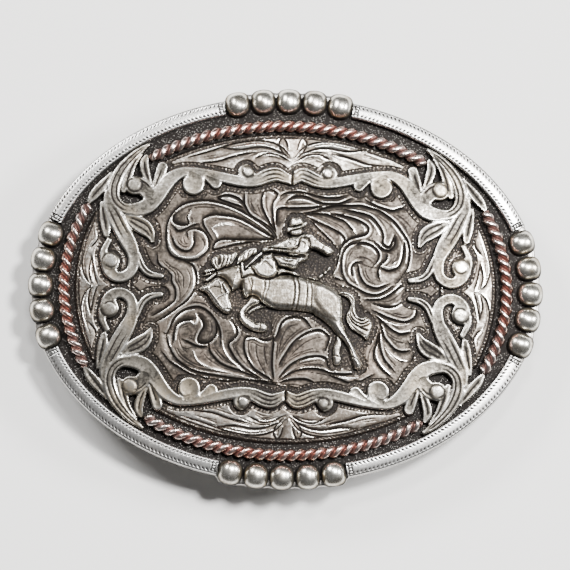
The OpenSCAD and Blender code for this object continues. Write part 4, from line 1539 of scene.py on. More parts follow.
        # The glints are slight raised lines that the tone paints bright as painted highlights
        bright = self.cuts(x, y, glints, self.glint_line)
        ground, dots = self.ground(x, y, part, rim)
        grains = self.grains(x, y)
        leaf = 1 - ground
        cut = self.deep * deep + self.shoulder * slope + self.fine * fine - self.glint * bright
        z = self.height - leaf * cut
        z += -self.sink * ground + self.grain * ground * grains + self.dot * dots
        # Painted light in the tone: the bright line beside each deep cut is a painted highlight, the darker
        # slope is painted shade, and the bright glints are painted highlights
        tone = 0.36 - 0.20 * slope + 0.54 * lip_highlight + 0.66 * bright
        tone = tone * (1 - deep) * (1 - 0.75 * fine)
        tone = tone * leaf + ground * (0.02 + 0.50 * grains**2) + 0.55 * dots
        if part not in CENTRE:
            # Painted light: the lobes' leaves are painted brighter overall, as if lit more strongly than
            # the centre
            tone += 0.24 * leaf * (1 - deep)
            z -= 0.25 * ease(-0.35, 0.0, rim)
        return z, np.clip(tone, 0.02, 1.0)

    def ground(self, x: Array, y: Array, part: Part, rim: Array) -> tuple[Array, Array]:
        """The sunk ground beside the scroll frame and the casting, and the punched dots along its border.

        A row of dots follows the frame, the casting where its ground ends, and the outer edge of a lobe,
        inside which the lobe's own leaf is left standing.

        Args:
            x: the points' x.
            y: the points' y.
            part: which piece.
            rim: signed distance from the piece's outline.
        Returns:
            How far each point is ground, from 0 to 1, and the dots, from 0 to 1.
        """
        frame = ScrollFrame().outline(np.abs(x), np.abs(y), 0.0)
        reach = 1.0 if part in CENTRE else 0.75
        ground = ease(reach + 0.2, reach - 0.15, frame)
        strokes = [stroke.rows for stroke in ScrollFrame().strokes(0.0)]
        dots = self.punched(np.abs(x), np.abs(y), strokes, reach - 0.1)
        if part not in CENTRE:
            along = np.arctan2(y, x) * np.hypot(x, y)
            ring = np.exp(-(((rim + 0.5) / 0.17) ** 2))
            dots = np.maximum(dots, ring * ease(0.0, 0.6, np.cos(2 * np.pi * along / self.dot_pitch)))
            return np.maximum(ground, ease(-0.95, -0.8, rim) * (frame > 0.6)), dots
        figure = RiderCasting().outline(x, y)
        hollows = softened(ease(1.5, 1.3, figure), 1.0 / self.cell)
        ground = np.maximum(ground, np.maximum(ease(1.05, 0.7, figure), ease(0.60, 0.85, hollows)))
        row = self.punched(x, y, [form.ring() for form in FORMS], 0.87) * (4 * ground * (1 - ground)) ** 0.5
        dots = np.maximum(dots, row)
        under_arm = enclosed(x, y, self.closed(np.array(SUNK)))
        return np.maximum(ground, ease(0.15, -0.25, under_arm)), dots

    def grains(self, x: Array, y: Array) -> Array:
        """Small grains, one at a random place in each square: exp(-(distance / (0.3 * square))^2).

        Args:
            x: the points' x.
            y: the points' y.
        Returns:
            The grains' rise, from 0 to 1.
        """
        count = 256
        places = np.random.default_rng(3).uniform(0.0, 1.0, (2, count, count))
        across, up = x / self.square, y / self.square
        far = np.full(x.shape, FAR)
        for step_x, step_y in np.ndindex(3, 3):
            column = np.floor(across).astype(int) + step_x - 1
            row = np.floor(up).astype(int) + step_y - 1
            place_x, place_y = places[:, row % count, column % count]
            far = np.minimum(far, np.hypot(across - column - place_x, up - row - place_y))
        return np.exp(-((far / 0.3) ** 2))

    def punched(self, x: Array, y: Array, lines: Sequence[Rows], off: float) -> Array:
        """A row of punched dots round the union of some strokes.

        Beside the stroke with the nearest edge they are exp(-((edge - off) / size)^2) where
        cos(2 pi run / pitch) is high.

        Args:
            x: the points' x.
            y: the points' y.
            lines: the strokes' rows.
            off: how far from the edges the row is.
        Returns:
            The dots, from 0 to 1.
        """
        best, dots = np.full(x.shape, FAR), np.zeros(x.shape)
        for rows in lines:
            line = smooth(rows)
            near = close_to(x, y, line)
            if near.any():
                at = beside(x[near], y[near], line)
                edge = at.distance - at.width / 2
                length = np.hypot(*np.diff(line[:, :2], axis=0).T).sum()
                beat = np.cos(2 * np.pi * at.run * length / self.dot_pitch)
                dot = np.exp(-(((edge - off) / self.dot_size) ** 2)) * ease(-0.3, 0.5, beat)
                dots[near] = np.where(edge < best[near], dot, dots[near])
                best[near] = np.minimum(edge, best[near])
        return dots

    def build(self) -> None:
        """Makes the six pieces."""
        material = ENGRAVED.material()
        for part in Part:
            loop = self.outline(part)
            chart = Chart.over(loop.min(0) - 0.3, loop.max(0) + 0.3, self.cell)
            x, y, held = chart.snapped(lambda px, py: enclosed(px, py, loop))
            z, tone = self.face(x, y, part, enclosed(x, y, loop))
            upper, lower = DOME.face(x, y, z), DOME.face(x, y, DOME.gap)
            piece = relief(f"engraved_plate_{part.value}", x, y, held, upper, lower, tone, fan=True)
            place(piece, material, ENGRAVED.slot, "inner_plate")


@dataclass(frozen=True)
class Form:
    """A shape of the casting.

    Fields: the trail of its outline, height over the plate, width of its rounded shoulder, and whether it
    runs into the shapes before it.
    """

    trail: Trail
    peak: float
    shoulder: float
    joined: bool = False

    def ring(self, steps: int = 5) -> Array:
        """The outline as a closed curve, whose points are carried on past its start and cut off there.

        Args:
            steps: points for each stretch between two knots.
        Returns:
            Rows of x and y, the last the same as the first.
        """
        knots = pairs(self.trail)
        return smooth([*knots, *knots[:3]], steps)[steps:steps * (len(knots) + 1) + 1]


@dataclass(frozen=True)
class Mark:
    """A line on the casting.

    Fields: its trail, half width, height, which is negative for a cut, and the pitch of its dashes.
    """

    trail: Trail
    width: float
    height: float
    dashes: float = 0.0


FORMS = (
    # Far hind leg
    Form((9.6, -8.6, 10.4, -9.4, 10.6, -10.6, 10.3, -11.9, 10.6, -12.9, 10.4, -13.8, 9.8, -14.3, 9.2, -14.1,
          9, -13.3, 8.9, -11.9, 9, -10.9, 9.4, -9.8), 1.2, 0.6),
    # Far foreleg
    Form((-6.9, -4.9, -6.2, -4.2, -5.1, -3.6, -3.7, -3.6, -3.6, -3.9, -4.6, -4.1, -5.5, -4.5, -6.4, -5),
          1, 0.5),
    # Body
    Form((-8.6, 3.5, -6.4, 2.9, -3.8, 2.3, -1.4, 2.2, 0.8, 2.2, 1.2, 2.1, 2.8, 2, 4.4, 1.6, 6.1, 1.2,
          7.7, 0.5, 9.2, -0.4, 10.1, -1.3, 10.6, -2.7, 10.7, -4.1, 10.6, -5.7, 11.3, -7.8, 12.3, -9.6,
          13.3, -11.6, 13.9, -12.8, 14.4, -13.8, 14.2, -14.8, 13.4, -15.1, 12.8, -14.5, 12.3, -13.1,
          11.8, -11.4, 10.8, -9.8, 10, -9.1, 9.1, -8.2, 8.3, -7.2, 6.8, -6, 5.6, -5.2, 4.8, -4.7, 2.3, -4.4,
          0, -4.3, -1.2, -4.3, -2.8, -4, -3.8, -3.3, -4.8, -2.8, -5.7, -2, -6.8, -1.9, -7.9, -1, -8.3, 0.3,
          -8.5, 1.8), 2, 1.35),
    # Haunch
    Form((5.1, 0.3, 6.7, 0.9, 8.1, 0.3, 9.2, -0.4, 10.1, -1.3, 10.6, -2.7, 10.7, -4.1, 10.6, -5.7, 10.1, -7,
          9.1, -6.6, 7.4, -5.6, 6, -4.2, 4.9, -2.4), 2.15, 1.25, True),
    # Foreleg
    Form((-6.4, -1.9, -7.3, -3.1, -8.4, -4.6, -8.6, -5.3, -8.3, -6.3, -7.2, -7.5, -5.6, -8.3, -3.6, -8.5,
          -3.1, -7.8, -3.3, -6.9, -4, -6.5, -5.1, -6.7, -5.6, -6.4, -6.7, -5.7, -7.2, -5.2, -6.9, -4.6,
          -6.1, -3.8, -4.8, -3.2, -4.6, -2.6, -5.5, -1.9), 1.6, 0.75),
    # Chest
    Form((-7.8, 0.9, -7.1, 1.3, -6.4, 0.7, -6.3, -0.4, -6.5, -1.6, -7.1, -2.3, -7.6, -2, -8, -1, -8, 0.1),
          1.9, 0.7, True),
    # Neck
    Form((-13.2, 2.2, -12.5, 2.9, -11.2, 3.4, -9.3, 3.9, -8, 4.2, -7.1, 2.9, -7.4, 1.2, -8.5, -0.4,
          -9.2, -0.8, -9.8, -1.1, -10.3, -0.2, -11.1, 0.8, -12, 1.3, -12.9, 1.1), 1.75, 1.3, True),
    # Mane 1
    Form((-12.5, 2.8, -13.3, 3.4, -13.8, 4.2, -13.6, 5, -13, 5.5, -12.2, 5.9, -11.4, 6, -10.7, 5.9,
          -9.9, 6.1, -9.1, 6.4, -8.8, 5.9, -9.2, 5.1, -9.8, 4.1, -10.5, 3.6, -11.5, 3.3), 1.5, 0.45),
    # Mane 2
    Form((-9, 4, -8.9, 5, -8.4, 5.8, -7.7, 6.5, -6.8, 7, -5.9, 7.2, -5.3, 7, -5.2, 6.3, -5.6, 5.8,
          -6.4, 5.5, -6.9, 4.9, -7.9, 4.4, -8.5, 4), 1.55, 0.45),
    # Tail
    Form((9.6, -1.1, 10, -0.6, 11, -0.5, 12.1, -0.9, 12.8, -1.8, 12.9, -3.2, 13.1, -4.3, 13.5, -5.1,
          14.2, -5.2, 15, -5.1, 15.8, -5.8, 16.2, -6.8, 16, -7.9, 15.3, -9.4, 14.8, -9.5, 14.3, -8.9,
          13.2, -8.2, 12.2, -7.6, 11.6, -6.7, 11.2, -5.5, 11.4, -4.5, 11.9, -3.4, 11.5, -2.1, 10.6, -1.5),
          1.5, 0.6),
    # Cord
    Form((5.8, 1.7, 6.1, 2.1, 7.1, 2.8, 8.1, 3.9, 8.2, 3.6, 7.3, 2.5, 6.4, 1.6, 6, 1.4), 0.8, 0.3),
    # Tassel 1
    Form((4.1, 1.6, 4.3, 2, 4.9, 1.9, 5.9, 1.7, 6.1, 1.4, 5.5, 1.3), 1.3, 0.3),
    # Tassel 2
    Form((6, 1.9, 6.4, 2.5, 6.8, 2.6, 7, 2.3, 6.6, 1.8, 6.2, 1.6), 1.3, 0.3),
    # Tassel 3
    Form((6.9, 2.6, 7.1, 3.1, 7.5, 3.2, 7.7, 2.9, 7.4, 2.4), 1.3, 0.3),
    # Tassel 4
    Form((7.5, 3.2, 7.8, 3.8, 8.1, 4, 8.3, 3.7, 8, 3.1, 7.7, 2.9), 1.3, 0.3),
    # Ear 1
    Form((-15.2, 2.5, -14.9, 2.9, -14.1, 3.1, -13.2, 3.2, -13, 2.7, -13.9, 2.5, -14.6, 2.2), 1.5, 0.3),
    # Ear 2
    Form((-15.1, 1.8, -14.6, 2.2, -13.5, 2.4, -12.9, 2.5, -13.2, 2.1, -14.3, 1.8, -14.9, 1.6), 1.5, 0.25),
    # Forelock
    Form((-15.1, 0.8, -14.6, 1.3, -13.7, 1.9, -12.9, 2.4, -12.6, 2, -13.4, 1.3, -14.4, 0.7), 1.55, 0.3),
    # Head
    Form((-15.9, -0.6, -15.4, -0.2, -14.6, 0.3, -13.6, 0.9, -13, 1.4, -12.1, 1.5, -11.1, 0.9, -10.3, -0.1,
          -9.9, -1.1, -10.1, -2.1, -9.7, -3.2, -9.5, -4.1, -9.8, -4.7, -10.4, -5.2, -11.3, -5, -12.1, -4.4,
          -13, -3.6, -13.8, -2.4, -14.6, -1.4, -15.5, -1), 2, 0.8),
    # Saddle front
    Form((-8.4, 3.7, -8.3, 4.3, -8, 4.5, -7.7, 4.3, -7.6, 3.5, -7.4, 3, -6.6, 3.7, -6, 3.4, -5.6, 2.6,
          -5.6, 2, -6.7, 1.8, -7.6, 1.5, -8.1, 1.5, -8.3, 2.5), 2.1, 0.4),
    # Skirt
    Form((-1.5, 1.9, -1.6, 2.9, -0.7, 3.3, -0.1, 3.1, 1, 2.9, 1.9, 2.7, 2.6, 2.2, 2.5, 1.9, 1.8, 2,
          0.7, 2.4, -0.5, 2.5, -1.1, 2.2), 2.15, 0.35),
    # Rein
    Form((-4.5, 6.3, -4.2, 6.1, -5.4, 4.9, -7.3, 3.2, -7.5, 3.4, -5.7, 5.3), 1.9, 0.15),
    # Torso
    Form((-0.5, 8.7, 0.9, 9.4, 2.5, 9.8, 4, 10.2, 5, 9.6, 4.9, 7.7, 4.5, 6.6, 4.2, 5.5, 3, 5.3, 1.1, 5.6,
          -0.2, 6.4, -0.7, 7.4), 2.4, 1.1),
    # Far arm
    Form((-0.2, 8.7, 1.1, 9.1, 2.4, 8.7, 2.2, 7.3, 0.4, 6.8, -1.5, 6.8, -3.7, 6.9, -4.4, 7.2, -3.6, 7.5,
          -2.8, 7.6, -1.8, 8), 2.2, 0.5, True),
    # Free arm
    Form((3.3, 9.6, 4.6, 9.9, 5.7, 9.0, 7.1, 8.1, 8.2, 7.5, 8.8, 6.7, 8.2, 5.9, 7.4, 5.9, 6.6, 6.4,
          5.2, 7.0, 3.6, 7.2), 2.45, 0.5, True),
    # Thigh
    Form((-2.7, 5.6, -1.4, 5.8, 0.8, 5.6, 2.6, 5.6, 4.1, 5.7, 3.7, 4.8, 2.6, 4.3, 2.1, 3.5, 1.3, 3.1,
          0.1, 3.5, -1.1, 3.7, -2.1, 4.5), 2.3, 0.8),
    # Forearm
    Form((2.6, 9, 4, 8.8, 4.4, 7.4, 4.2, 6.4, 3.3, 5.8, 1.9, 6, -0.7, 6.3, -2.9, 6.4, -4.2, 6.2, -4.6, 6.7,
          -4, 7.2, -2.9, 7.1, -0.7, 6.9, 1.5, 6.9, 2.2, 7.5), 2.6, 0.45),
    # Chap
    Form((-6.4, 3.6, -6.1, 4, -5.8, 4, -5.5, 4.4, -4.9, 4.6, -4.8, 5.1, -4.4, 5.2, -4.4, 5.6, -3.8, 5.9,
          -3.2, 6, -2.6, 6.3, -2.3, 5.9, -2.2, 5.2, -1.7, 4.6, -1.5, 3.8, -1.3, 2.8, -1.6, 2.1, -2.2, 1.5,
          -3.2, 1.2, -4.1, 1.3, -5.2, 1.7, -5.9, 2.6), 2.5, 0.7),
    # Face
    Form((0.5, 10.5, 2.4, 11, 3, 10.5, 2.9, 9.7, 2, 9.3, 1.1, 9.5, 0.6, 9.9), 2.2, 0.5),
    # Brim
    Form((-0, 10.2, 0.3, 10.9, 1.3, 11.1, 2.7, 11.6, 3.4, 12.1, 3.9, 11.8, 3.5, 11.2, 2.3, 10.7, 1.1, 10.4,
          0.4, 10), 2.4, 0.25),
    # Crown
    Form((0.6, 11.1, 0.6, 12.3, 1.1, 13, 1.8, 12.8, 2.5, 13.1, 2.9, 12.5, 3.2, 11.7, 2.5, 11.3, 1.4, 11),
          2.6, 0.5),
)
MARKS = (
    # Straps
    Mark((1.4, 1.8, 1.7, -0.4, 1.6, -2.4, 1.2, -4.3), 0.14, -0.2),
    Mark((2.2, 1.8, 2.5, -0.4, 2.4, -2.4, 2, -4.4), 0.14, -0.2),
    Mark((1.8, 1.8, 2.1, -0.4, 2, -2.4, 1.6, -4.3), 0.22, 0.07),
    Mark((3.8, 1.3, 4, -0.5, 3.9, -2.6, 3.6, -4.5), 0.12, -0.17),
    Mark((4.7, 0.9, 4.8, -0.7, 4.8, -2.4, 4.7, -4), 0.12, -0.17),
    Mark((-6.4, 1.5, -6.1, 0.3, -6.3, -0.8, -6.3, -1.9), 0.12, -0.16),
    Mark((-3.9, 0.9, -3.8, -0.3, -4.2, -2, -4.2, -3.2), 0.12, -0.16),
    Mark((-3, 1, -3.1, -0.3, -3.6, -1.8, -3.8, -3), 0.12, -0.14),
    Mark((-6.6, 1.7, -6.4, 0.7, -6, -0.4, -6.2, -1.9), 0.2, 0.08),
    # Belly and haunch
    Mark((9.9, -6.4, 10.5, -7.6, 11.3, -9, 12, -10.8), 0.16, 0.08),
    Mark((9.4, -4.9, 9.7, -5.9, 10.3, -7), 0.22, -0.1),
    Mark((12.3, -12.7, 13.3, -13), 0.14, -0.14),
    Mark((9, -12.5, 10.4, -12.7), 0.1, -0.12),
    # Neck
    Mark((-12.7, 2.7, -11.2, 3.2, -9.3, 3.7, -8.4, 4), 0.12, -0.16),
    Mark((-8.5, 3.8, -8.8, 2.9, -9.3, 1.6, -9.8, -1), 0.16, 0.14),
    Mark((-8.9, 2.5, -9.4, 1.4, -9.9, -0.5), 0.1, -0.14),
    # Bridle
    Mark((-13, 1.2, -12, 1.3, -11, 0.8, -10.2, -0.5), 0.12, 0.14),
    Mark((-12.4, 1.3, -11.8, -0.1, -11.6, -1.3), 0.12, 0.13),
    Mark((-14, -0.8, -13.1, -0.3, -12, -0.5), 0.1, -0.12),
    Mark((-13.2, -2.9, -12.3, -2.2, -11.3, -1.7, -10.1, -1.2), 0.12, 0.13),
    Mark((-14.4, 0.2, -13.8, -1.1, -12.7, -2.5, -11.8, -3.8, -11, -4.7), 0.1, 0.08),
    # The horse's eye, nostril and mouth
    Mark((-11.3, 0.2, -11, -0.5, -10.6, -1.1), 0.22, 0.16),
    Mark((-11.6, 0.4, -11.4, -0.7, -10.9, -1.4), 0.1, -0.16),
    Mark((-10.7, -4.4, -10.2, -4.5), 0.12, -0.2),
    Mark((-9.6, -3.9, -10.1, -3.7, -10.4, -3.1), 0.08, -0.14),
    # Mane
    Mark((-12.4, 5.4, -12.3, 4.6, -12.3, 4.1), 0.26, -0.4),
    Mark((-11.5, 5.7, -11.5, 4.5, -12, 3.4), 0.11, -0.24),
    Mark((-10.7, 5.6, -10.8, 4.5, -11.2, 3.5), 0.11, -0.24),
    Mark((-10, 5.8, -10.2, 4.7, -10.5, 3.8), 0.11, -0.24),
    Mark((-9.4, 5.9, -9.6, 5.1, -10, 4.3), 0.1, -0.2),
    Mark((-13.1, 4.9, -13, 4.1, -12.5, 3.3), 0.1, -0.2),
    Mark((-7.7, 6.2, -8.3, 5.4, -8.7, 4.3), 0.11, -0.24),
    Mark((-7, 6.6, -7.7, 5.9, -8.1, 4.5), 0.11, -0.24),
    Mark((-6.3, 6.8, -6.9, 6.2, -7.1, 5.1), 0.11, -0.24),
    Mark((-5.7, 6.8, -6.1, 6.2, -6.2, 5.7), 0.1, -0.22),
    # Tail
    Mark((10.4, -1.1, 11.7, -1.5, 12.4, -2.4, 12.3, -4.1, 12.9, -5.3, 13.8, -5.9, 14.4, -6), 0.14, -0.32),
    Mark((10.8, -1.4, 11.8, -2.4, 12.1, -3.6, 11.9, -4.9, 12.6, -6, 13.6, -6.5), 0.11, -0.22),
    Mark((11.6, -4.9, 12.2, -6.1, 13.2, -6.9, 14.4, -7.5, 15.2, -7.8), 0.12, -0.28),
    Mark((11.5, -5.7, 12.4, -7.1, 13.6, -8, 14.8, -8.7), 0.1, -0.2),
    Mark((13.8, -6.6, 14.6, -6.5, 15.4, -6), 0.1, -0.28),
    Mark((14.2, -7.1, 15, -6.9, 15.6, -6.5), 0.09, -0.26),
    Mark((14.1, -6, 14.7, -5.7, 15.2, -5.4), 0.09, -0.22),
    # Forelock
    Mark((-14.6, 2.7, -13.9, 2.8, -13.3, 2.9), 0.07, -0.12),
    # Foreleg
    Mark((-7.3, -3.4, -8, -4.7, -8.1, -5.4, -7.3, -6.7, -5.8, -7.7), 0.13, 0.1),
    Mark((-4.4, -6.7, -4.5, -7.5, -4.7, -8.3), 0.11, -0.16),
    Mark((-6.2, -6.5, -5.4, -6.9, -4.5, -7.2), 0.1, -0.12),
    # Saddle
    Mark((-8, 1.6, -6.6, 1.8, -5.6, 2), 0.1, 0.12),
    Mark((-7.5, 2.8, -6.6, 3.2, -6.1, 3.1), 0.12, -0.14),
    Mark((-1.1, 2.7, -0.5, 2.9, 0.8, 2.7, 2, 2.3), 0.08, -0.14),
    # Chap seam
    Mark((-5.9, 3.6, -5.6, 2.6, -4.9, 1.8, -3.9, 1.5, -3, 1.5, -2.2, 1.9, -1.7, 2.6, -1.8, 3.7),
          0.1, -0.12),
    Mark((-4.4, 3.9, -3.8, 4.4, -3.2, 3.9, -2.5, 3.2), 0.16, -0.14),
    Mark((-4, 5.4, -3.4, 5, -2.6, 5.4), 0.14, -0.14),
    # Shirt
    Mark((2.7, 8.7, 2.2, 7.7, 0.8, 6.6), 0.1, -0.24),
    Mark((4.1, 6.3, 2.2, 5.7, 0.8, 5.8), 0.1, -0.25),
    Mark((1.2, 8.7, 1.8, 8.2, 1.5, 7.6), 0.12, -0.16),
    Mark((0.2, 8.2, 0.7, 7.8, 0.4, 7.4), 0.1, -0.14),
    Mark((4.4, 9.2, 4, 8.1, 4.3, 7), 0.12, -0.16),
    Mark((2.8, 8.3, 3.4, 7.9, 3.3, 7.2), 0.1, -0.14),
    Mark((5.2, 8.5, 5.7, 8.8), 0.1, -0.14),
    Mark((7, 7.8, 6.6, 6.9), 0.1, -0.18),
    Mark((2.2, 6.6, 2.5, 6), 0.1, -0.12),
    Mark((-1, 5.2, 0.1, 4.6, 1.2, 4.7), 0.13, -0.18),
    Mark((0.8, 5.3, 2.3, 5, 3.4, 5.1), 0.11, -0.16),
    Mark((-0.7, 4.1, 0.4, 4, 1.2, 3.8), 0.1, -0.12),
    # Hair
    Mark((1.1, 9.7, 2.4, 10, 3, 10.5), 0.2, 0.12, 0.34),
    # Hat band
    Mark((0.7, 11.3, 1.8, 11.3, 3, 11.8), 0.09, -0.16),
    Mark((1.4, 12.6, 1.9, 12.3, 2.6, 12.9), 0.13, -0.14),
    # Free hand
    Mark((8, 6.6, 8.3, 6.5), 0.09, -0.25),
)


@dataclass
class RiderCasting:
    """The rider on the bucking horse, as one casting of shapes with rounded shoulders and engraved lines.

    Fields: the chart's cell, how softly joined shapes run together, height of the walls at a shape's
    outline, the casting's least height, height of the plate below, depth and half width of the groove
    where one shape lies over another, how strongly hollows darken, what heights are scaled by, and the
    chart's corners.
    """

    cell: float = 0.092
    blend: float = 0.5
    wall: float = 0.35
    floor: float = 0.25
    sheet: float = 0.8
    groove: float = 0.32
    groove_line: float = 0.15
    cavity: float = 1.7
    share: float = 0.905
    low: tuple[float, float] = (-16.8, -16.4)
    high: tuple[float, float] = (17.0, 14.2)

    def outline(self, x: Array, y: Array) -> Array:
        """Signed distance from the casting's outline, the least of its shapes'.

        Args:
            x: the points' x.
            y: the points' y.
        Returns:
            The distances, negative inside.
        """
        total = np.full(x.shape, FAR)
        for form in FORMS:
            ring = form.ring()
            near = close_to(x, y, ring)
            total[near] = np.minimum(total[near], enclosed(x[near], y[near], ring))
        return total

    def surface(self, x: Array, y: Array) -> Array:
        """Height of the whole casting over the plate.

        A shape's height is wall + (peak - wall) * sqrt(1 - (1 - share)^2), where share is the depth
        inside its outline in shoulder widths, up to 1. It lies over those before it, whose faces are cut
        by groove * exp(-(distance / groove_line)^2) beside it, or it is joined to them. The grain of the
        cast metal is the product of two sines, each bent by a sine of the other coordinate.

        Args:
            x: the points' x.
            y: the points' y.
        Returns:
            The heights.
        """
        z = np.zeros(x.shape)
        for form in FORMS:
            ring = form.ring()
            near = close_to(x, y, ring)
            depth = -enclosed(x[near], y[near], ring)
            share = np.clip(depth / form.shoulder, 0, 1)
            full = self.wall + (form.peak - self.wall) * np.sqrt(1 - (1 - share) ** 2)
            rise = np.where(depth > 0, full, 0.0)
            cut = self.groove * np.exp(-((depth / self.groove_line) ** 2))
            if form.joined:
                z[near] = -union(-z[near], -rise, self.blend)
            else:
                z[near] = np.maximum(z[near] - cut, rise)
        for mark in MARKS:
            line = smooth(pairs(mark.trail))
            near = close_to(x, y, line)
            at = beside(x[near], y[near], line)
            shape = np.exp(-((at.distance / mark.width) ** 2))
            if mark.dashes:
                length = np.hypot(*np.diff(line, axis=0).T).sum()
                shape *= 0.5 + 0.5 * np.cos(2 * np.pi * at.run * length / mark.dashes)
            z[near] += mark.height * shape
        grain = np.sin(7.1 * x + 3.3 * np.sin(2.3 * y)) * np.sin(6.3 * y + 2.9 * np.sin(2.9 * x))
        return np.maximum(z + 0.012 * grain, self.floor)

    def build(self) -> None:
        """Makes the casting from one chart. It is darker where it lies below its own softened height."""
        chart = Chart.over(self.low, self.high, self.cell)
        x, y, inside = chart.snapped(self.outline)
        z = self.surface(x, y)
        ground = np.where(inside, z, 0.2)
        hollow = ground - softened(ground, 0.35 / self.cell)
        fine = ground - softened(ground, 0.13 / self.cell)
        tone = 0.38 + 0.18 * z / 2.2 + self.cavity * (0.45 * hollow + 1.3 * fine)
        lift = self.sheet + self.share * z
        upper, lower = DOME.face(x, y, lift), DOME.face(x, y, self.sheet + DOME.gap)
        casting = relief("bronc_rider_casting", x, y, inside, upper, lower, np.clip(tone, 0.03, 1.0))
        place(casting, CASTING.material(), CASTING.slot, "bronc_rider")


@dataclass
class BackFittings:
    """The belt loop and the hook on the plate's hollow back, with a bead of solder under each foot.

    Fields: radius of the loop's wire, distance of its legs from the middle line, bend radius at its
    corners, how far the loop and the hook are from the middle, the peg's radius, depth, height and length
    of its waist, the feet's radius, height and rounding, width and height of the bead of solder, and the
    number of points round a ring.
    """

    wire: float = 1.7
    leg: float = 21.7
    bend: float = 2.6
    loop_x: float = -31.0
    hook_x: float = 31.0
    peg: float = 2.1
    waist: tuple[float, float, float] = (0.14, 5.2, 1.0)
    foot: float = 3.6
    foot_height: float = 1.1
    rounding: float = 0.4
    solder: tuple[float, float] = (0.85, 1.3)
    around: int = 56

    def radius(self, down: Array, thin: float) -> Array:
        """Radius of a foot with a rounded edge, or below it of the wire or peg with its bead of solder.

        The edge is a quarter circle, and the bead is width * (1 - way / height)^2.4 thick.

        Args:
            down: distances below the plate.
            thin: radius of the wire or peg.
        Returns:
            The radii.
        """
        share = np.clip((down - self.foot_height) / self.rounding + 1, 0, 1)
        disc = self.foot - self.rounding * (1 - np.sqrt(1 - share**2))
        bead = thin + self.solder[0] * np.clip(1 - (down - self.foot_height) / self.solder[1], 0, 1) ** 2.4
        return np.where(down <= self.foot_height, disc, bead)

    def downs(self) -> Array:
        """Where a foot has rings.

        Returns:
            Distances below the plate, down to the end of the solder.
        """
        edge = self.foot_height - self.rounding * (1 - np.sin(np.radians(np.linspace(0, 90, 6))))
        solder = self.foot_height + np.linspace(0.001, self.solder[1], 9)
        return np.concatenate([[0.0, 0.35], edge, solder])

    def piece(self, name: str, node: str, rings: Array, radius: Array, tone: Array, down: Array) -> None:
        """Makes a piece from rings, and shapes its feet to the plate's hollow back.

        Args:
            name: the piece's name.
            node: the node that it stands for.
            rings: for each ring its middle and its two unit directions, right-handed with the way along.
            radius: the rings' radii.
            tone: their tones.
            down: their distances below the plate.
        """
        v = np.linspace(0, 2 * np.pi, self.around, endpoint=False)[None, :, None]
        out = np.cos(v) * rings[:, None, 1] + np.sin(v) * rings[:, None, 2]
        points = rings[:, None, 0] + radius[:, None, None] * out
        under = -DOME.gap - DOME.thickness
        level = DOME.face(rings[:, 0, 0], rings[:, 0, 1], under)[:, None]
        bend = DOME.face(points[..., 0], points[..., 1], under) - level
        points[..., 2] += bend * ease(2.6, self.foot_height, down)[:, None]
        tones = np.repeat(tone, self.around)
        faces = tube_faces(len(rings), self.around)
        fitting = new_piece(name, points.reshape(-1, 3), faces, tones, crease=40.0)
        place(fitting, BACK.material(), BACK.slot, node)

    def tone(self, down: Array) -> Array:
        """Darker in the corner under a foot, and elsewhere as bright as the plate's back."""
        return 0.66 - 0.34 * np.exp(-(((down - self.foot_height - 0.1) / 0.25) ** 2))

    def loop(self) -> None:
        """The bent wire: down from one foot, across, and up to the other."""
        high = float(DOME.face(np.array(self.loop_x), np.array(self.leg), -DOME.gap - DOME.thickness))
        low = self.wire + self.bend
        downs = np.concatenate([self.downs(), [high - low - 0.3]])
        turn = np.radians(np.linspace(0, 90, 13))
        y = np.concatenate([np.full(len(downs), self.leg), self.leg - self.bend * (1 - np.cos(turn))])
        z = np.concatenate([high - downs, low - self.bend * np.sin(turn)])
        angle = np.concatenate([np.zeros(len(downs)), turn])
        down = high - z
        bar = np.linspace(y[-1], 0.0, 14)[1:]
        y, z = np.concatenate([y, bar]), np.concatenate([z, np.full(len(bar), self.wire)])
        angle = np.concatenate([angle, np.full(len(bar), np.pi / 2)])
        down = np.concatenate([down, np.full(len(bar), high - self.wire)])
        y, z = np.concatenate([y, -y[-2::-1]]), np.concatenate([z, z[-2::-1]])
        angle, down = np.concatenate([angle, np.pi - angle[-2::-1]]), np.concatenate([down, down[-2::-1]])
        middle = np.stack([np.full(len(y), self.loop_x), y, z], axis=1)
        outward = np.stack([np.zeros(len(y)), np.cos(angle), -np.sin(angle)], axis=1)
        across = np.tile([1.0, 0.0, 0.0], (len(y), 1))
        worn = 0.16 * ease(0.6, 1.0, np.sin(angle)) * ease(21.0, 12.0, np.abs(y))
        rings = np.stack([middle, outward, across], axis=1)
        radius = self.radius(down, self.wire)
        self.piece("belt_loop_wire", "belt_loop", rings, radius, self.tone(down) + worn, down)

    def hook(self) -> None:
        """The peg, turned from its round tip up to its foot, with a slight waist that holds the belt."""
        high = float(DOME.face(np.array(self.hook_x), np.array(0.0), -DOME.gap - DOME.thickness))
        turn = np.radians(np.linspace(1.5, 90, 14))
        shaft = np.linspace(self.peg, high - self.foot_height - self.solder[1], 10)[1:-1]
        z = np.concatenate([self.peg * (1 - np.cos(turn)), shaft, high - self.downs()[::-1]])
        down = high - z
        radius = self.radius(down, self.peg)
        radius[:len(turn)] = self.peg * np.sin(turn)
        deep, at, length = self.waist
        radius -= deep * np.exp(-(((z - at) / length) ** 2))
        count = len(z)
        middle = np.stack([np.full(count, self.hook_x), np.zeros(count), z], axis=1)
        right, up = np.tile([1.0, 0.0, 0.0], (count, 1)), np.tile([0.0, 1.0, 0.0], (count, 1))
        rings = np.stack([middle, right, up], axis=1)
        worn = 0.16 * ease(3.5, 1.0, z)
        self.piece("hook_peg", "hook", rings, radius, self.tone(down) + worn, down)

    def build(self) -> None:
        """Makes both."""
        self.loop()
        self.hook()


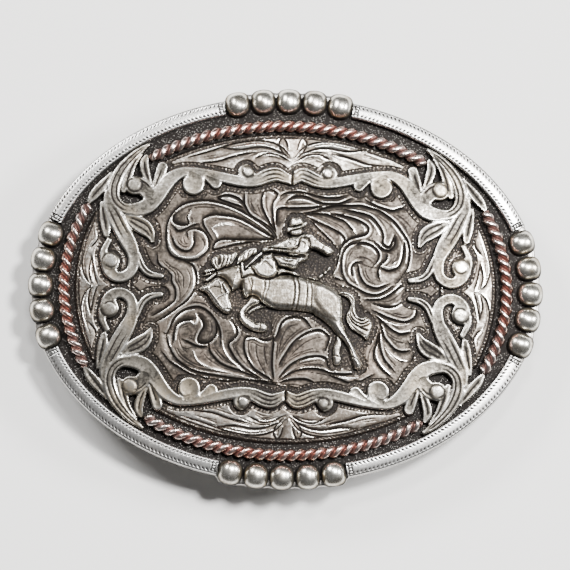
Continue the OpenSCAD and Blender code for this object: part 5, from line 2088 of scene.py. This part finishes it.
@dataclass
class Studio:
    """The pale floor, the lights and the camera.

    Fields: the camera's angle above the floor and its turn about its own axis in degrees; its distance,
    the width that the picture takes in at the aim point, and the aim point, in metres; and the sensor's
    width in millimetres.
    """

    elevation: float = 83.0
    roll: float = 1.1
    distance: float = 0.9
    span: float = 0.1051
    aim: tuple[float, float, float] = (-0.0001, 0.0008, 0.010)
    sensor: float = 36.0

    def floor(self) -> None:
        """A pale plane at the level that the buckle lies on."""
        half = 0.6
        corners = [[-half, -half, 0.0], [half, -half, 0.0], [half, half, 0.0], [-half, half, 0.0]]
        plane = new_piece("floor", np.array(corners) / MM, [np.array([[0, 1, 2, 3]])])
        bench = Bench("pale_floor")
        inputs = {"Base Color": (0.82, 0.81, 0.79, 1.0), "Roughness": 0.9}
        plane.data.materials.append(bench.closed(bench.node("ShaderNodeBsdfPrincipled", {}, inputs)))

    def light(self, name: str, where: Sequence[float], size: float, power: float) -> None:
        """A round area light that faces the buckle.

        Args:
            name: the light's name.
            where: its place in metres.
            size: its diameter in metres.
            power: its power in watts.
        """
        lamp = bpy.data.lights.new(name, "AREA")
        lamp.shape = "DISK"
        lamp.size = size
        lamp.energy = power
        thing = bpy.data.objects.new(name, lamp)
        thing.location = where
        thing.rotation_euler = (-Vector(where)).to_track_quat("-Z", "Y").to_euler()
        bpy.context.scene.collection.objects.link(thing)

    def lights(self) -> None:
        """Soft boxes to the left, right, top and front, and a dim room."""
        self.light("soft_box_left", (-0.42, 0.42, 0.60), 0.26, 6.0)
        self.light("soft_box_right", (0.60, 0.10, 0.45), 0.20, 6.0)
        self.light("soft_box_top", (0.02, 0.34, 0.95), 0.14, 4.5)
        self.light("soft_box_front", (0.31, 0.17, 0.88), 0.14, 18.0)
        world = bpy.data.worlds.new("room")
        world.use_nodes = True
        world.node_tree.nodes["Background"].inputs["Color"].default_value = (0.12, 0.12, 0.123, 1.0)
        bpy.context.scene.world = world

    def camera(self) -> None:
        """Looks down at the aim point, so that the picture's width there is the span."""
        lens = bpy.data.cameras.new("camera")
        lens.sensor_width = self.sensor
        lens.lens = self.sensor * self.distance / self.span
        lens.clip_end = 10.0
        thing = bpy.data.objects.new("camera", lens)
        lean = math.radians(90.0 - self.elevation)
        turn = Matrix.Rotation(lean, 4, "X") @ Matrix.Rotation(math.radians(self.roll), 4, "Z")
        back = Vector((0.0, -math.sin(lean), math.cos(lean))) * self.distance
        thing.matrix_world = Matrix.Translation(Vector(self.aim) + back) @ turn
        bpy.context.scene.collection.objects.link(thing)
        bpy.context.scene.camera = thing

    def build(self) -> None:
        """Sets the stage."""
        self.floor()
        self.lights()
        self.camera()


def main() -> None:
    """Builds the buckle's looks around its frame."""
    logging.basicConfig(level=logging.INFO, format="%(message)s")
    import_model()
    Studio().build()
    for assembly in (BasePlate(), EdgeBand(), BeadGroups(), Ropes(), ScrollFrame(), EngravedPlate(),
                     RiderCasting(), BackFittings()):
        assembly.build()
    bpy.context.view_layer.update()


if __name__ == "__main__":
    main()
